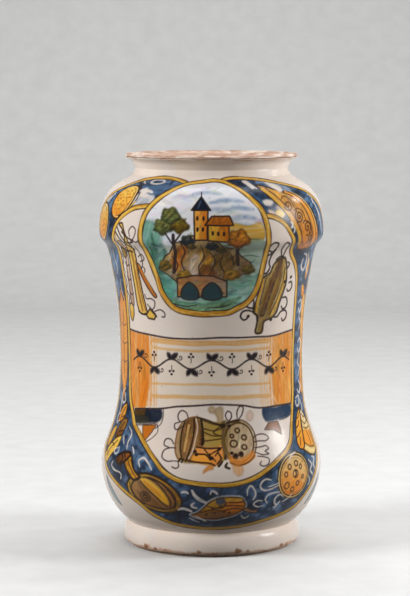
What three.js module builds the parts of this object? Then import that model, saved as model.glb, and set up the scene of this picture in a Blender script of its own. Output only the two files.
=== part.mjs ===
// Albarello: a waisted pharmacy jar of tin-glazed earthenware, 300 mm tall.
// Millimetres, +Z up. The origin is the centre of the ring that the foot rests on.
// Four thrown sections of clay are luted together with slip. One coat of glaze covers
// the outside and another lines the inside. The lip and the foot's lower edge are bare clay.
import * as THREE from "three";

// Rises, each from the place below it: foot, belly, waist, crease, shoulder, neck and lip
const footHeight = 18;
const bellyRise = 43.5;
const waistRise = 80.5;
const creaseRise = 87.5;
const shoulderRise = 14;
const neckRise = 45.5;
const lipUndersideRise = 8;
const lipThickness = 3;

// Radii of the glazed outside
const contactRadius = 63.6;
const rollBulge = 4.2;
const rollHeight = 8.5;
const grooveDepth = 3.5;
const bellyRadius = 84.8;
const waistRadius = 70.4;
const creaseRadius = 80.2;
const shoulderOverhang = 5.6;
const neckRadius = 58.2;
const lipFlare = 7.1;

// How far the bends carry on below and above those places, as handles of the curves
const rollHandles = { below: 5, above: 5 };
const bellyHandles = { below: 7, above: 24.5 };
const waistHandles = { below: 56.5, above: 34 };
const shoulderHandles = { below: 2, above: 39.3 };
const neckHandles = { below: 11.6, above: 4.5 };

// Slopes at the outline's corners: length of the handle, and degrees above the horizontal
const contactSlope = { length: 2.5, angle: 10 };
const rollTopSlope = { length: 3, angle: 140 };
const bellyFootSlope = { length: 24, angle: 41 };
const creaseLowerSlope = { length: 34, angle: 76 };
const creaseUpperSlope = { length: 6, angle: 26 };
const lipUndersideSlope = { length: 2.4, angle: 42 };

// Walls, measured square to the outside from the outer glaze to the inner one
const wallAtGroove = 8;
const wallAtNeck = 5.7;
const coatThickness = 0.6;
const slipThickness = 0.8;
const clearance = 0.3;
const bareFootHeight = 2.6;
const bareMouthDepth = 5;

// Level joints between the thrown sections, above the waist and below the neck
const waistLuteAbove = 4;
const neckLuteBelow = 12;

// Lip and mouth
const lipEdgeReach = 0.6;
const lipEdgeRound = 1.8;
const lipLandWidth = 2.8;
const mouthSlope = { length: 6, angle: 14 };
const innerNeckHandle = 4;

// Floor inside, and the base that the foot's coil is wrapped round
const floorAboveRecess = 12;
const floorFlatRadius = 44;
const floorCornerHandle = 9;
const innerFootHandle = 5;
const recessDepth = 8;
const footRingInnerRadius = 52;

// Fineness of the turned surfaces
const sides = 36;

const point = (radius, z) => new THREE.Vector2(radius, z);
const up = (length) => point(0, length);
const down = (length) => point(0, -length);

function sloped({ length, angle }) {
  const turn = THREE.MathUtils.degToRad(angle);
  return point(Math.cos(turn) * length, Math.sin(turn) * length);
}

// A stretch of an outline: it leaves its start along one handle and comes to its end
// from the tip of the other. It returns stations, each a place and its outward normal.
function stretch(steps, start, startHandle, end, endHandle) {
  const controls = [start, start.clone().add(startHandle), end.clone().add(endHandle), end];
  const curve = new THREE.CubicBezierCurve(...controls);
  return Array.from({ length: steps + 1 }, (_, i) => {
    const way = curve.getTangent(i / steps);
    return { place: curve.getPoint(i / steps), normal: point(way.y, -way.x) };
  });
}

const rollRadius = contactRadius + rollBulge;
const contact = point(contactRadius, 0);
const roll = point(rollRadius, rollHeight);
const groove = point(rollRadius - grooveDepth, footHeight);
const belly = point(bellyRadius, groove.y + bellyRise);
const waist = point(waistRadius, belly.y + waistRise);
const crease = point(creaseRadius, waist.y + creaseRise);
const shoulder = point(creaseRadius + shoulderOverhang, crease.y + shoulderRise);
const neck = point(neckRadius, shoulder.y + neckRise);
const lipUnderside = point(neckRadius + lipFlare, neck.y + lipUndersideRise);
const height = lipUnderside.y + lipThickness;

// The outside, from the contact ring of the foot up to the underside of the lip
const footStations = [
  ...stretch(3, contact, sloped(contactSlope), roll, down(rollHandles.below)),
  ...stretch(3, roll, up(rollHandles.above), groove, sloped(rollTopSlope).negate()),
];
const wallStations = [
  ...stretch(5, groove, sloped(bellyFootSlope), belly, down(bellyHandles.below)),
  ...stretch(5, belly, up(bellyHandles.above), waist, down(waistHandles.below)),
  ...stretch(5, waist, up(waistHandles.above), crease, sloped(creaseLowerSlope).negate()),
  ...stretch(2, crease, sloped(creaseUpperSlope), shoulder, down(shoulderHandles.below)),
  ...stretch(6, shoulder, up(shoulderHandles.above), neck, down(neckHandles.below)),
];
const lipStations = stretch(
  2,
  neck,
  up(neckHandles.above),
  lipUnderside,
  sloped(lipUndersideSlope).negate(),
);
const outside = [...footStations, ...wallStations, ...lipStations];

function wallThickness(z) {
  const share = (z - groove.y) / (neck.y - groove.y);
  return THREE.MathUtils.lerp(wallAtGroove, wallAtNeck, share);
}

// The lining's face: the floor's round corner, the wall, and the mouth up to the lip's land
const liningWall = wallStations.map(({ place, normal }) => ({
  place: place.clone().addScaledVector(normal, -wallThickness(place.y)),
  normal,
}));
const floorTop = recessDepth + floorAboveRecess;
const lipTip = point(lipUnderside.x + lipEdgeReach, height - lipEdgeRound);
const coatDepth = coatThickness + clearance;
const mouthEdge = point(lipTip.x - lipEdgeRound - lipLandWidth - coatDepth, height);
const lining = [
  ...stretch(
    3,
    point(floorFlatRadius, floorTop),
    point(floorCornerHandle, 0),
    liningWall[0].place,
    sloped({ ...bellyFootSlope, length: -innerFootHandle }),
  ),
  ...liningWall,
  ...stretch(3, liningWall.at(-1).place, up(innerNeckHandle), mouthEdge, sloped(mouthSlope).negate()),
];

// Moves stations along their normals, and drops a point that lands on the one before it.
function moved(stations, distance) {
  const points = stations.map(({ place, normal }) => place.clone().addScaledVector(normal, distance));
  return points.filter((p, i) => i === 0 || p.distanceTo(points[i - 1]) > 0.05);
}

// The part of a rising line between two heights, with new points on it at both of them.
function between(line, low, high) {
  const crossing = (z) => {
    const i = line.findIndex((p) => p.y > z);
    if (i < 1) return [];
    const [under, over] = [line[i - 1], line[i]];
    return [under.clone().lerp(over, (z - under.y) / (over.y - under.y)).setY(z)];
  };
  const inner = line.filter(({ y }) => y > low + 0.05 && y < high - 0.05);
  return [...crossing(low), ...inner, ...crossing(high)];
}

const backwards = (points) => [...points].reverse();
const top = Infinity;

const clayOutside = moved(outside, -coatDepth);
const clayInside = moved(lining, coatDepth);
const ring = (low, high) => [
  ...between(clayOutside, low, high),
  ...backwards(between(clayInside, low, high)),
];

const waistLute = waist.y + waistLuteAbove;
const neckLute = neck.y - neckLuteBelow;

// The foot is a coil round the base, with a level top that is luted under the belly.
const footLute = groove.y - slipThickness;
const footRingProfile = [
  point(footRingInnerRadius, 0),
  point(contact.x - coatDepth, 0),
  ...between(clayOutside, 0, footLute),
  point(footRingInnerRadius, footLute),
];
const footLuteProfile = [
  point(footRingInnerRadius, footLute),
  ...between(clayOutside, footLute, groove.y),
  point(footRingInnerRadius, groove.y),
];
const lowerSectionProfile = [
  point(0, recessDepth),
  point(footRingInnerRadius - clearance, recessDepth),
  point(footRingInnerRadius - clearance, groove.y),
  ...between(clayOutside, groove.y, waistLute),
  ...backwards(between(clayInside, -top, waistLute)),
  point(0, floorTop - coatDepth),
];
const upperSectionProfile = ring(waistLute + slipThickness, neckLute);

// The lip's rounded edge and level land, on the collar that the neck grows from
const lipCorner = point(lipTip.x - lipEdgeRound, lipTip.y);
const lipEdge = [0, 0.5, 1].map((share) => {
  const turn = (share * Math.PI) / 2;
  return point(Math.cos(turn), Math.sin(turn)).multiplyScalar(lipEdgeRound).add(lipCorner);
});
const neckCollarProfile = [
  ...between(clayOutside, neckLute + slipThickness, top),
  ...lipEdge,
  point(mouthEdge.x + coatDepth, height),
  ...backwards(between(clayInside, neckLute + slipThickness, height)),
];

const outerGlazeProfile = [
  ...between(moved(outside, 0), bareFootHeight, top),
  ...backwards(between(moved(outside, -coatThickness), bareFootHeight, top)),
];
const liningTop = height - bareMouthDepth;
const innerGlazeProfile = [
  point(0, floorTop - coatThickness),
  ...between(moved(lining, coatThickness), -top, liningTop),
  ...backwards(between(moved(lining, 0), -top, liningTop)),
  point(0, floorTop),
];

// Turns a profile about the jar's axis. One that starts off the axis closes on itself.
function turned(profile) {
  const closed = profile[0].x > 0 ? [...profile, profile[0]] : profile;
  return new THREE.LatheGeometry(closed, sides).rotateX(Math.PI / 2);
}

function piece(name, profile, color, roughness) {
  const material = new THREE.MeshStandardMaterial({ color, roughness, metalness: 0 });
  const mesh = new THREE.Mesh(turned(profile), material);
  mesh.name = name;
  return mesh;
}

const clay = [0xc99f80, 0.85];
const slip = [0xb88d6e, 0.9];
const tinGlaze = [0xe6ddd4, 0.25];
const liningGlaze = [0xe2d6c4, 0.3];

const jar = new THREE.Group();
jar.add(
  piece("foot_ring", footRingProfile, ...clay),
  piece("foot_lute", footLuteProfile, ...slip),
  piece("lower_section", lowerSectionProfile, ...clay),
  piece("waist_lute", ring(waistLute, waistLute + slipThickness), ...slip),
  piece("upper_section", upperSectionProfile, ...clay),
  piece("neck_lute", ring(neckLute, neckLute + slipThickness), ...slip),
  piece("neck_collar", neckCollarProfile, ...clay),
  piece("outer_glaze", outerGlazeProfile, ...tinGlaze),
  piece("inner_glaze", innerGlazeProfile, ...liningGlaze),
);

export default jar;
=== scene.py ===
"""Albarello: a waisted pharmacy jar of tin-glazed earthenware, painted and fired.

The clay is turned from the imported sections. The glaze outside is painted by strokes and
washes, each given as places on the jar: degrees round it from the front, and millimetres up.
"""

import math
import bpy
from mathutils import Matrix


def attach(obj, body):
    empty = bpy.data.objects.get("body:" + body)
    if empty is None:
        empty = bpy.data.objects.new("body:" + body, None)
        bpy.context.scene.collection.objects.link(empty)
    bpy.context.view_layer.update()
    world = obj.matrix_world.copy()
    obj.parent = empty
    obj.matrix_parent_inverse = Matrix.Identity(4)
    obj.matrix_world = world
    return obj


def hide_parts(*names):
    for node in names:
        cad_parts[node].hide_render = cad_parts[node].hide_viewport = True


bl_info = {
    "name": "Albarello",
    "version": (1, 0, 0),
    "blender": (4, 5, 0),
    "location": "View3D > Sidebar > Albarello",
    "description": "Builds a painted, tin-glazed pharmacy jar round its packed frame",
    "category": "Object",
}

from types import SimpleNamespace

import bpy
import numpy as np

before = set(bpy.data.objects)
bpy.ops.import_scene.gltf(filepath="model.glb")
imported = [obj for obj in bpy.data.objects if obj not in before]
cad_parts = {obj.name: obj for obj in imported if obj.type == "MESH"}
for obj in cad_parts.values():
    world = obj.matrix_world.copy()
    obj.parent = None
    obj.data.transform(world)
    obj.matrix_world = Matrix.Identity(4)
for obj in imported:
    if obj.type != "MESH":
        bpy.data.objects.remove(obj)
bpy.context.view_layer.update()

MM = 0.001
BODY = "root"
HALF_TURN = 180.0
FULL_TURN = 360.0
TINY = 1e-6


# Sections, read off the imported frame

def section_faces(node):
    """Radius and height of the corners of every side face of a node, and where each face looks."""
    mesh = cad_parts[node].data
    corners = np.empty(len(mesh.vertices) * 3)
    mesh.vertices.foreach_get("co", corners)
    corners = corners.reshape(-1, 3)
    mesh.calc_loop_triangles()
    index = np.empty(len(mesh.loop_triangles) * 3, int)
    mesh.loop_triangles.foreach_get("vertices", index)
    triangles = corners[index.reshape(-1, 3)]
    normals = np.cross(triangles[:, 1] - triangles[:, 0], triangles[:, 2] - triangles[:, 0])
    no_length = 1e-12
    normals /= np.maximum(np.linalg.norm(normals, axis=1, keepdims=True), no_length)
    centres = triangles.mean(1)
    spokes = centres[:, :2] / np.maximum(np.linalg.norm(centres[:, :2], axis=1, keepdims=True), no_length)
    outward = (normals[:, :2] * spokes).sum(1)
    radii = np.linalg.norm(triangles[:, :, :2], axis=2)
    return radii, triangles[:, :, 2], outward


def outline(node, side):
    """The outer (side 1) or inner (side -1) outline of a node, in mm, from its foot to its top."""
    radii, heights, outward = section_faces(node)
    least_lean = 0.05
    chosen = outward * side > least_lean
    pairs = np.stack([radii[chosen].ravel(), heights[chosen].ravel()], 1) / MM
    stations = {}
    for radius, height in pairs:
        stations.setdefault(round(height, 2), []).append(radius)
    return np.array([(np.mean(stations[height]), height) for height in sorted(stations)])


def rounded(points, spacing):
    """A smooth line through points, broken where it turns by more than a corner's degrees."""
    corner = 28.0
    steps = np.diff(points, axis=0)
    headings = np.degrees(np.arctan2(steps[:, 1], steps[:, 0]))
    turns = np.abs((np.diff(headings) + HALF_TURN) % FULL_TURN - HALF_TURN)
    breaks = [0, *(np.flatnonzero(turns > corner) + 1), len(points) - 1]
    parts = [flowing(points[a:b + 1], spacing) for a, b in zip(breaks[:-1], breaks[1:])]
    return np.concatenate([parts[0], *(part[1:] for part in parts[1:])])


def flowing(points, spacing, closed=False):
    """A centripetal spline through points, with a point about every spacing."""
    points = np.asarray(points, float)
    if closed:
        around = np.concatenate([points[-1:], points, points[:2]])
    elif len(points) > 2:
        before = 2 * points[:1] - points[1:2]
        after = 2 * points[-1:] - points[-2:-1]
        around = np.concatenate([before, points, after])
    else:
        return straight(points, spacing)
    line = []
    for a, b, c, d in zip(around[:-3], around[1:-2], around[2:-1], around[3:]):
        gaps = [np.linalg.norm(end - start) for start, end in ((a, b), (b, c), (c, d))]
        knots = np.cumsum([0] + [max(gap, TINY) ** 0.5 for gap in gaps])
        steps = max(1, math.ceil(np.linalg.norm(c - b) / spacing))
        t = (knots[1] + (knots[2] - knots[1]) * np.arange(steps) / steps)[:, None]
        ab = a + (b - a) * (t - knots[0]) / (knots[1] - knots[0])
        bc = b + (c - b) * (t - knots[1]) / (knots[2] - knots[1])
        cd = c + (d - c) * (t - knots[2]) / (knots[3] - knots[2])
        abc = ab + (bc - ab) * (t - knots[0]) / (knots[2] - knots[0])
        bcd = bc + (cd - bc) * (t - knots[1]) / (knots[3] - knots[1])
        line.append(abc + (bcd - abc) * (t - knots[1]) / (knots[2] - knots[1]))
    end = points[:1] if closed else points[-1:]
    return np.concatenate([*line, end])


def straight(points, spacing):
    """Straight stretches between points, with a point about every spacing."""
    line = [points[:1]]
    for start, end in zip(points[:-1], points[1:]):
        steps = max(1, math.ceil(np.linalg.norm(end - start) / spacing))
        line.append(start + (end - start) * (np.arange(1, steps + 1) / steps)[:, None])
    return np.concatenate(line)


def evenly(line, spacing):
    """The same line with its points spread evenly along it."""
    along = np.concatenate([[0], np.cumsum(np.linalg.norm(np.diff(line, axis=0), axis=1))])
    count = math.ceil(along[-1] / spacing)
    marks = np.linspace(0, along[-1], count + 1)
    return np.stack([np.interp(marks, along, line[:, i]) for i in (0, 1)], 1)


def inset(line, depth):
    """The line moved square to itself, towards the inside of the wall."""
    ways = np.gradient(line, axis=0)
    ways /= np.linalg.norm(ways, axis=1, keepdims=True)
    return line + depth * np.stack([-ways[:, 1], ways[:, 0]], 1)


def thinned(line, tolerance):
    """The fewest of a line's points that keep it within a tolerance."""
    way = line[-1] - line[0]
    x, y = (line - line[0]).T
    gaps = np.abs(way[0] * y - way[1] * x) / np.linalg.norm(way)
    worst = int(gaps.argmax())
    if gaps[worst] < tolerance:
        return line[[0, -1]]
    return np.concatenate([thinned(line[:worst + 1], tolerance)[:-1], thinned(line[worst:], tolerance)])


class Sizes(bpy.types.PropertyGroup):
    """Sizes of the jar's fine surfaces."""

    sides: bpy.props.IntProperty(
        name="Sides", description="Facets round the jar", default=960, min=72)
    row_height: bpy.props.FloatProperty(
        name="Row height", description="Height of a facet of the painted glaze",
        default=0.46 * MM, unit="LENGTH")
    front_fineness: bpy.props.FloatProperty(
        name="Front fineness", description="How much narrower the facets are at the front",
        default=0.35, min=0, max=0.8)
    coat: bpy.props.FloatProperty(
        name="Glaze coat", description="Thickness of the glaze as modelled",
        default=0.4 * MM, unit="LENGTH")
    rings: bpy.props.IntProperty(
        name="Glaze rings", description="Bands that the painted glaze is divided into", default=9)
    sway: bpy.props.FloatProperty(
        name="Sway", description="How far the thrown wall leaves a true circle",
        default=0.45 * MM, unit="LENGTH")
    sway_length: bpy.props.FloatProperty(
        name="Sway length", description="Length of one swell of the thrown wall",
        default=85 * MM, unit="LENGTH")


def pigment(name, colour):
    """A colour property of one pigment, as a painter sees it."""
    return bpy.props.FloatVectorProperty(
        name=name, description=f"{name} as it looks after firing", subtype="COLOR_GAMMA",
        size=3, min=0, max=1, default=[level / 255 for level in colour])


class Pigments(bpy.types.PropertyGroup):
    """Colours of the fired glaze and clay."""

    white: pigment("Tin white", (233, 219, 206))
    cobalt: pigment("Cobalt blue", (50, 84, 118))
    navy: pigment("Deep cobalt", (14, 24, 42))
    pale_blue: pigment("Thin cobalt", (134, 156, 188))
    ochre: pigment("Ochre yellow", (217, 158, 38))
    straw: pigment("Straw yellow", (242, 204, 104))
    orange: pigment("Rust orange", (236, 132, 30))
    brown: pigment("Manganese brown", (112, 62, 16))
    umber: pigment("Dark brown", (50, 28, 12))
    olive: pigment("Olive green", (112, 88, 20))
    copper: pigment("Copper green", (78, 146, 124))
    outline: pigment("Outline", (42, 28, 32))
    clay: pigment("Bare clay", (214, 178, 152))
    clay_stain: pigment("Stained clay", (158, 108, 78))


def sizes():
    """The jar's sizes, as the scene holds them."""
    return bpy.context.scene.albarello_sizes


def pigments():
    """The pigments, as the scene holds them."""
    return bpy.context.scene.albarello_pigments


# The turned form

def link(tree, source, target):
    """Joins an output to an input."""
    tree.links.new(source, target)


def node(tree, kind, inputs=None, **settings):
    """Adds a node with its settings. Each input that is named takes a value or another node's output."""
    made = tree.nodes.new(kind)
    for key, value in settings.items():
        setattr(made, key, value)
    for key, value in (inputs or {}).items():
        if isinstance(value, bpy.types.NodeSocket):
            link(tree, value, made.inputs[key])
        else:
            made.inputs[key].default_value = value
    return made


def maths(tree, operation, *values):
    """A Math node. A value is a number or another node's output."""
    return node(tree, "ShaderNodeMath", dict(enumerate(values)), operation=operation).outputs[0]


def turned_form_tree():
    """Geometry Nodes: turns a row of points, a closed section, about the jar's axis."""
    swell_radius = 0.075
    straight_radius = 0.03
    crease_angle = 0.7
    tree = bpy.data.node_groups.new("Turned form", "GeometryNodeTree")
    face = tree.interface
    face.new_socket("Geometry", in_out="INPUT", socket_type="NodeSocketGeometry")
    inputs = (("Sides", "Int"), ("Front fineness", "Float"), ("Sway", "Float"),
              ("Sway length", "Float"), ("Material", "Material"))
    for name, kind in inputs:
        face.new_socket(name, in_out="INPUT", socket_type=f"NodeSocket{kind}")
    face.new_socket("Geometry", in_out="OUTPUT", socket_type="NodeSocketGeometry")
    given = node(tree, "NodeGroupInput").outputs
    count = node(tree, "GeometryNodeAttributeDomainSize", {"Geometry": given["Geometry"]}, component="MESH")
    points = count.outputs["Point Count"]

    sheet = node(tree, "GeometryNodeMeshGrid",
                 {"Size X": 1.0, "Size Y": 1.0, "Vertices X": maths(tree, "ADD", given["Sides"], 1),
                  "Vertices Y": points})
    share = node(tree, "GeometryNodeStoreNamedAttribute", {
        "Name": "turn", "Geometry": sheet.outputs["Mesh"], "Value": sheet.outputs["UV Map"]},
        data_type="FLOAT2", domain="CORNER")

    spot = node(tree, "ShaderNodeSeparateXYZ", {0: node(tree, "GeometryNodeInputPosition").outputs[0]})
    last = maths(tree, "SUBTRACT", points, 1)
    row = maths(tree, "ROUND", maths(tree, "MULTIPLY", maths(tree, "ADD", spot.outputs["Y"], 0.5), last))
    rows = node(tree, "GeometryNodeStoreNamedAttribute", {
        "Name": "row", "Geometry": share.outputs[0], "Value": row}, data_type="FLOAT", domain="POINT")
    section = node(tree, "GeometryNodeSampleIndex", {
        "Geometry": given["Geometry"], "Value": node(tree, "GeometryNodeInputPosition").outputs[0],
        "Index": row}, data_type="FLOAT_VECTOR", domain="POINT")
    station = node(tree, "ShaderNodeSeparateXYZ", {0: section.outputs[0]})

    even = maths(tree, "MULTIPLY", spot.outputs["X"], 2 * math.pi)
    lean = maths(tree, "MULTIPLY", maths(tree, "SINE", even), given["Front fineness"])
    angle = maths(tree, "SUBTRACT", even, lean)
    sine = maths(tree, "SINE", angle)
    cosine = maths(tree, "COSINE", angle)
    around = node(tree, "ShaderNodeCombineXYZ",
                  {"X": maths(tree, "MULTIPLY", sine, swell_radius),
                   "Y": maths(tree, "MULTIPLY", cosine, swell_radius), "Z": station.outputs["Z"]})
    swell = node(tree, "ShaderNodeTexNoise", {
        "Detail": 1.0, "Roughness": 0.4, "Vector": around.outputs[0],
        "Scale": maths(tree, "DIVIDE", 1, given["Sway length"])})
    push = maths(tree, "MULTIPLY", maths(tree, "SUBTRACT", swell.outputs[0], 0.5), given["Sway"])
    off_axis = maths(tree, "GREATER_THAN", station.outputs["X"], straight_radius)
    radius = maths(tree, "ADD", station.outputs["X"], maths(tree, "MULTIPLY", push, off_axis))
    place = node(tree, "ShaderNodeCombineXYZ", {
        "X": maths(tree, "MULTIPLY", radius, sine),
        "Y": maths(tree, "MULTIPLY", maths(tree, "MULTIPLY", radius, cosine), -1),
        "Z": station.outputs["Z"]})
    turned = node(tree, "GeometryNodeSetPosition", {
        "Geometry": rows.outputs[0], "Position": place.outputs[0]})

    seam = node(tree, "GeometryNodeMergeByDistance", {"Distance": TINY, "Geometry": turned.outputs[0]})
    smooth = node(tree, "GeometryNodeSetShadeSmooth", {
        "Shade Smooth": True, "Geometry": seam.outputs[0]}, domain="FACE")
    bend = node(tree, "GeometryNodeInputMeshEdgeAngle").outputs[0]
    sharp = node(tree, "GeometryNodeSetShadeSmooth", {
        "Shade Smooth": False, "Geometry": smooth.outputs[0],
        "Selection": maths(tree, "GREATER_THAN", bend, crease_angle)}, domain="EDGE")
    real = node(tree, "GeometryNodeRealizeInstances", {"Geometry": sharp.outputs[0]})
    finish = node(tree, "GeometryNodeSetMaterial", {
        "Geometry": real.outputs[0], "Material": given["Material"]})
    node(tree, "NodeGroupOutput", {0: finish.outputs[0]})
    return tree


def socket_of(tree, name):
    """Identifier of a tree's input."""
    sockets = tree.interface.items_tree
    return next(item.identifier for item in sockets if (item.name, item.in_out) == (name, "INPUT"))


def turn(name, section, material, sides=None):
    """A turned piece: its closed section in mm goes round the axis as a plain, closed mesh."""
    size = sizes()
    tree = bpy.data.node_groups.get("Turned form") or turned_form_tree()
    profile = bpy.data.meshes.new(f"{name}_section")
    closed = np.concatenate([section, section[:1]]) if section[0][0] > TINY else section
    stations = [(radius * MM, 0.0, height * MM) for radius, height in closed]
    profile.from_pydata(stations, [(i, i + 1) for i in range(len(stations) - 1)], [])
    holder = bpy.data.objects.new(f"{name}_turning", profile)
    bpy.context.scene.collection.objects.link(holder)
    modifier = holder.modifiers.new("Turned form", "NODES")
    modifier.node_group = tree
    given = {"Sides": sides or size.sides, "Front fineness": size.front_fineness, "Sway": size.sway,
             "Sway length": size.sway_length, "Material": material}
    for label_of, value in given.items():
        modifier[socket_of(tree, label_of)] = value
    view = bpy.context.evaluated_depsgraph_get()
    mesh = bpy.data.meshes.new_from_object(holder.evaluated_get(view))
    mesh.name = name
    bpy.data.objects.remove(holder)
    bpy.data.meshes.remove(profile)
    if mesh_volume(mesh) < 0:
        mesh.flip_normals()
    piece = bpy.data.objects.new(name, mesh)
    bpy.context.scene.collection.objects.link(piece)
    return piece


def mesh_volume(mesh):
    """Volume inside a closed mesh, negative where its faces look inwards."""
    spots = np.empty(len(mesh.vertices) * 3)
    mesh.vertices.foreach_get("co", spots)
    mesh.calc_loop_triangles()
    index = np.empty(len(mesh.loop_triangles) * 3, int)
    mesh.loop_triangles.foreach_get("vertices", index)
    corners = spots.reshape(-1, 3)[index.reshape(-1, 3)]
    return (corners[:, 0] * np.cross(corners[:, 1], corners[:, 2])).sum() / 6


def strips(piece):
    """Unwraps a ring for baking, its quarters as strips stacked in the square."""
    share_of_width, strip_count = 0.96, 4
    mesh = piece.data
    corners = len(mesh.loops)
    turn_of = np.empty(corners * 2, np.float32)
    mesh.uv_layers["turn"].data.foreach_get("uv", turn_of)
    turn_of = turn_of.reshape(-1, 2).astype(float)
    starts = np.empty(len(mesh.polygons), int)
    totals = np.empty(len(mesh.polygons), int)
    mesh.polygons.foreach_get("loop_start", starts)
    mesh.polygons.foreach_get("loop_total", totals)
    owner = np.repeat(np.arange(len(totals)), totals)
    middle = np.add.reduceat(turn_of[:, 0], starts) / totals
    quarter = np.floor(middle * strip_count)[owner]
    along = turn_of[:, 0] * strip_count - quarter
    uv = np.stack([along * share_of_width, (quarter + turn_of[:, 1]) / strip_count], 1)
    layer = mesh.uv_layers.new(name="OFBake")
    layer.data.foreach_set("uv", uv.astype(np.float32).ravel())
    mesh.uv_layers.remove(mesh.uv_layers["turn"])


def seat(piece, slot, *nodes):
    """Rides a piece on the jar in the place of its CAD nodes."""
    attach(piece, BODY)
    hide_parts(*nodes)


# Finishes

def group_tree(name, inputs, outputs):
    """An empty shader group with its inputs (name, kind, default) and outputs (name, kind)."""
    tree = bpy.data.node_groups.new(name, "ShaderNodeTree")
    for label, kind, default in inputs:
        socket = tree.interface.new_socket(label, in_out="INPUT", socket_type=f"NodeSocket{kind}")
        socket.default_value = default
    for label, kind in outputs:
        tree.interface.new_socket(label, in_out="OUTPUT", socket_type=f"NodeSocket{kind}")
    return tree, node(tree, "NodeGroupInput").outputs, node(tree, "NodeGroupOutput").inputs


def texture(tree, kind, scale, where, inputs=None, **settings):
    """A texture node on a vector, with its scale in patterns per metre."""
    given = {**(inputs or {}), "Scale": scale, "Vector": where}
    return node(tree, f"ShaderNodeTex{kind}", given, **settings)


def noise(tree, scale, where, detail=2.0, roughness=0.5):
    """Noise on a vector, mostly between 0.3 and 0.7."""
    return texture(tree, "Noise", scale, where, {"Detail": detail, "Roughness": roughness}).outputs[0]


def spread(tree, value, low, high, out_low=0.0, out_high=1.0):
    """Maps a value's range to another, and holds it there."""
    given = {"Value": value, "From Min": low, "From Max": high, "To Min": out_low, "To Max": out_high}
    return node(tree, "ShaderNodeMapRange", given, clamp=True).outputs[0]


def mixed(tree, share, first, second, mode="MIX"):
    """Mixes two colours. Each of the three is a socket or a value."""
    factor, colour_a, colour_b, colour_out = 0, 6, 7, 2
    made = node(tree, "ShaderNodeMix", {factor: share, colour_a: first, colour_b: second},
                data_type="RGBA", blend_type=mode, clamp_factor=True)
    return made.outputs[colour_out]


def linear(colour):
    """A painter's colour (sRGB levels) as the linear light that a shader takes."""
    levels = np.asarray(colour, float)
    toe, slope, offset, gamma = 0.04045, 12.92, 0.055, 2.4
    light = np.where(levels <= toe, levels / slope, ((levels + offset) / (1 + offset)) ** gamma)
    return (*light, 1.0)


def glaze_skin():
    """Group: the life of a tin glaze. Clouds, fine crackle, pinholes and brush-worn gloss."""
    made = bpy.data.node_groups.get("Glaze skin")
    if made:
        return made
    tree, given, out = group_tree(
        "Glaze skin",
        [("Colour", "Color", (0.8, 0.8, 0.8, 1)), ("Cloud", "Float", 0.06), ("Crackle", "Float", 0.2),
         ("Pinholes", "Float", 0.6), ("Speck colour", "Color", (0.2, 0.12, 0.07, 1))],
        [("Colour", "Color"), ("Roughness", "Float"), ("Height", "Float")])
    where = node(tree, "ShaderNodeTexCoord").outputs["Object"]
    cloud = noise(tree, 28, where, detail=4.0, roughness=0.55)
    warm = noise(tree, 75, where, detail=3.0, roughness=0.6)
    shade = spread(tree, cloud, 0.3, 0.7)
    tint = mixed(tree, spread(tree, warm, 0.35, 0.65), (1.0, 0.97, 0.94, 1), (0.93, 0.95, 1.0, 1))
    toned = mixed(tree, given["Cloud"], given["Colour"],
                  mixed(tree, 1.0, given["Colour"], tint, "MULTIPLY"))
    darker = mixed(tree, 1.0, toned, (0.86, 0.84, 0.83, 1), "MULTIPLY")
    cloudy = mixed(tree, maths(tree, "MULTIPLY", shade, given["Cloud"]), toned, darker)

    wander = node(tree, "ShaderNodeVectorMath", {0: where}, operation="ADD")
    drift = texture(tree, "Noise", 160, where).outputs["Color"]
    nudge = node(tree, "ShaderNodeVectorMath", {0: drift, "Scale": 4 * MM}, operation="SCALE")
    link(tree, nudge.outputs[0], wander.inputs[1])
    cells = texture(tree, "Voronoi", 210, wander.outputs[0], feature="DISTANCE_TO_EDGE")
    crack = spread(tree, cells.outputs[0], 0.006, 0.03, 1.0, 0.0)
    patch = spread(tree, noise(tree, 18, where), 0.5, 0.66)
    cracks = maths(tree, "MULTIPLY", maths(tree, "MULTIPLY", crack, patch), given["Crackle"])
    lined = mixed(tree, cracks, cloudy, given["Speck colour"])

    pits = texture(tree, "Voronoi", 230, where)
    rare = spread(tree, noise(tree, 120, where, detail=1.0), 0.6, 0.66)
    pit = maths(tree, "MULTIPLY", spread(tree, pits.outputs["Distance"], 0.05, 0.16, 1.0, 0.0), rare)
    pitted = maths(tree, "MULTIPLY", pit, given["Pinholes"])
    link(tree, mixed(tree, pitted, lined, given["Speck colour"]), out["Colour"])

    gloss = noise(tree, 55, where, detail=5.0, roughness=0.6)
    rough = spread(tree, gloss, 0.3, 0.75, 0.14, 0.3)
    link(tree, maths(tree, "ADD", rough, maths(tree, "MULTIPLY", pitted, 0.3)), out["Roughness"])
    orange_peel = noise(tree, 420, where)
    long_swell = noise(tree, 70, where)
    relief = maths(tree, "ADD", maths(tree, "MULTIPLY", orange_peel, 0.12),
                   maths(tree, "MULTIPLY", long_swell, 0.9))
    dents = maths(tree, "ADD", maths(tree, "MULTIPLY", pitted, 0.5), maths(tree, "MULTIPLY", cracks, 0.15))
    link(tree, maths(tree, "SUBTRACT", relief, dents), out["Height"])
    return tree


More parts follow.
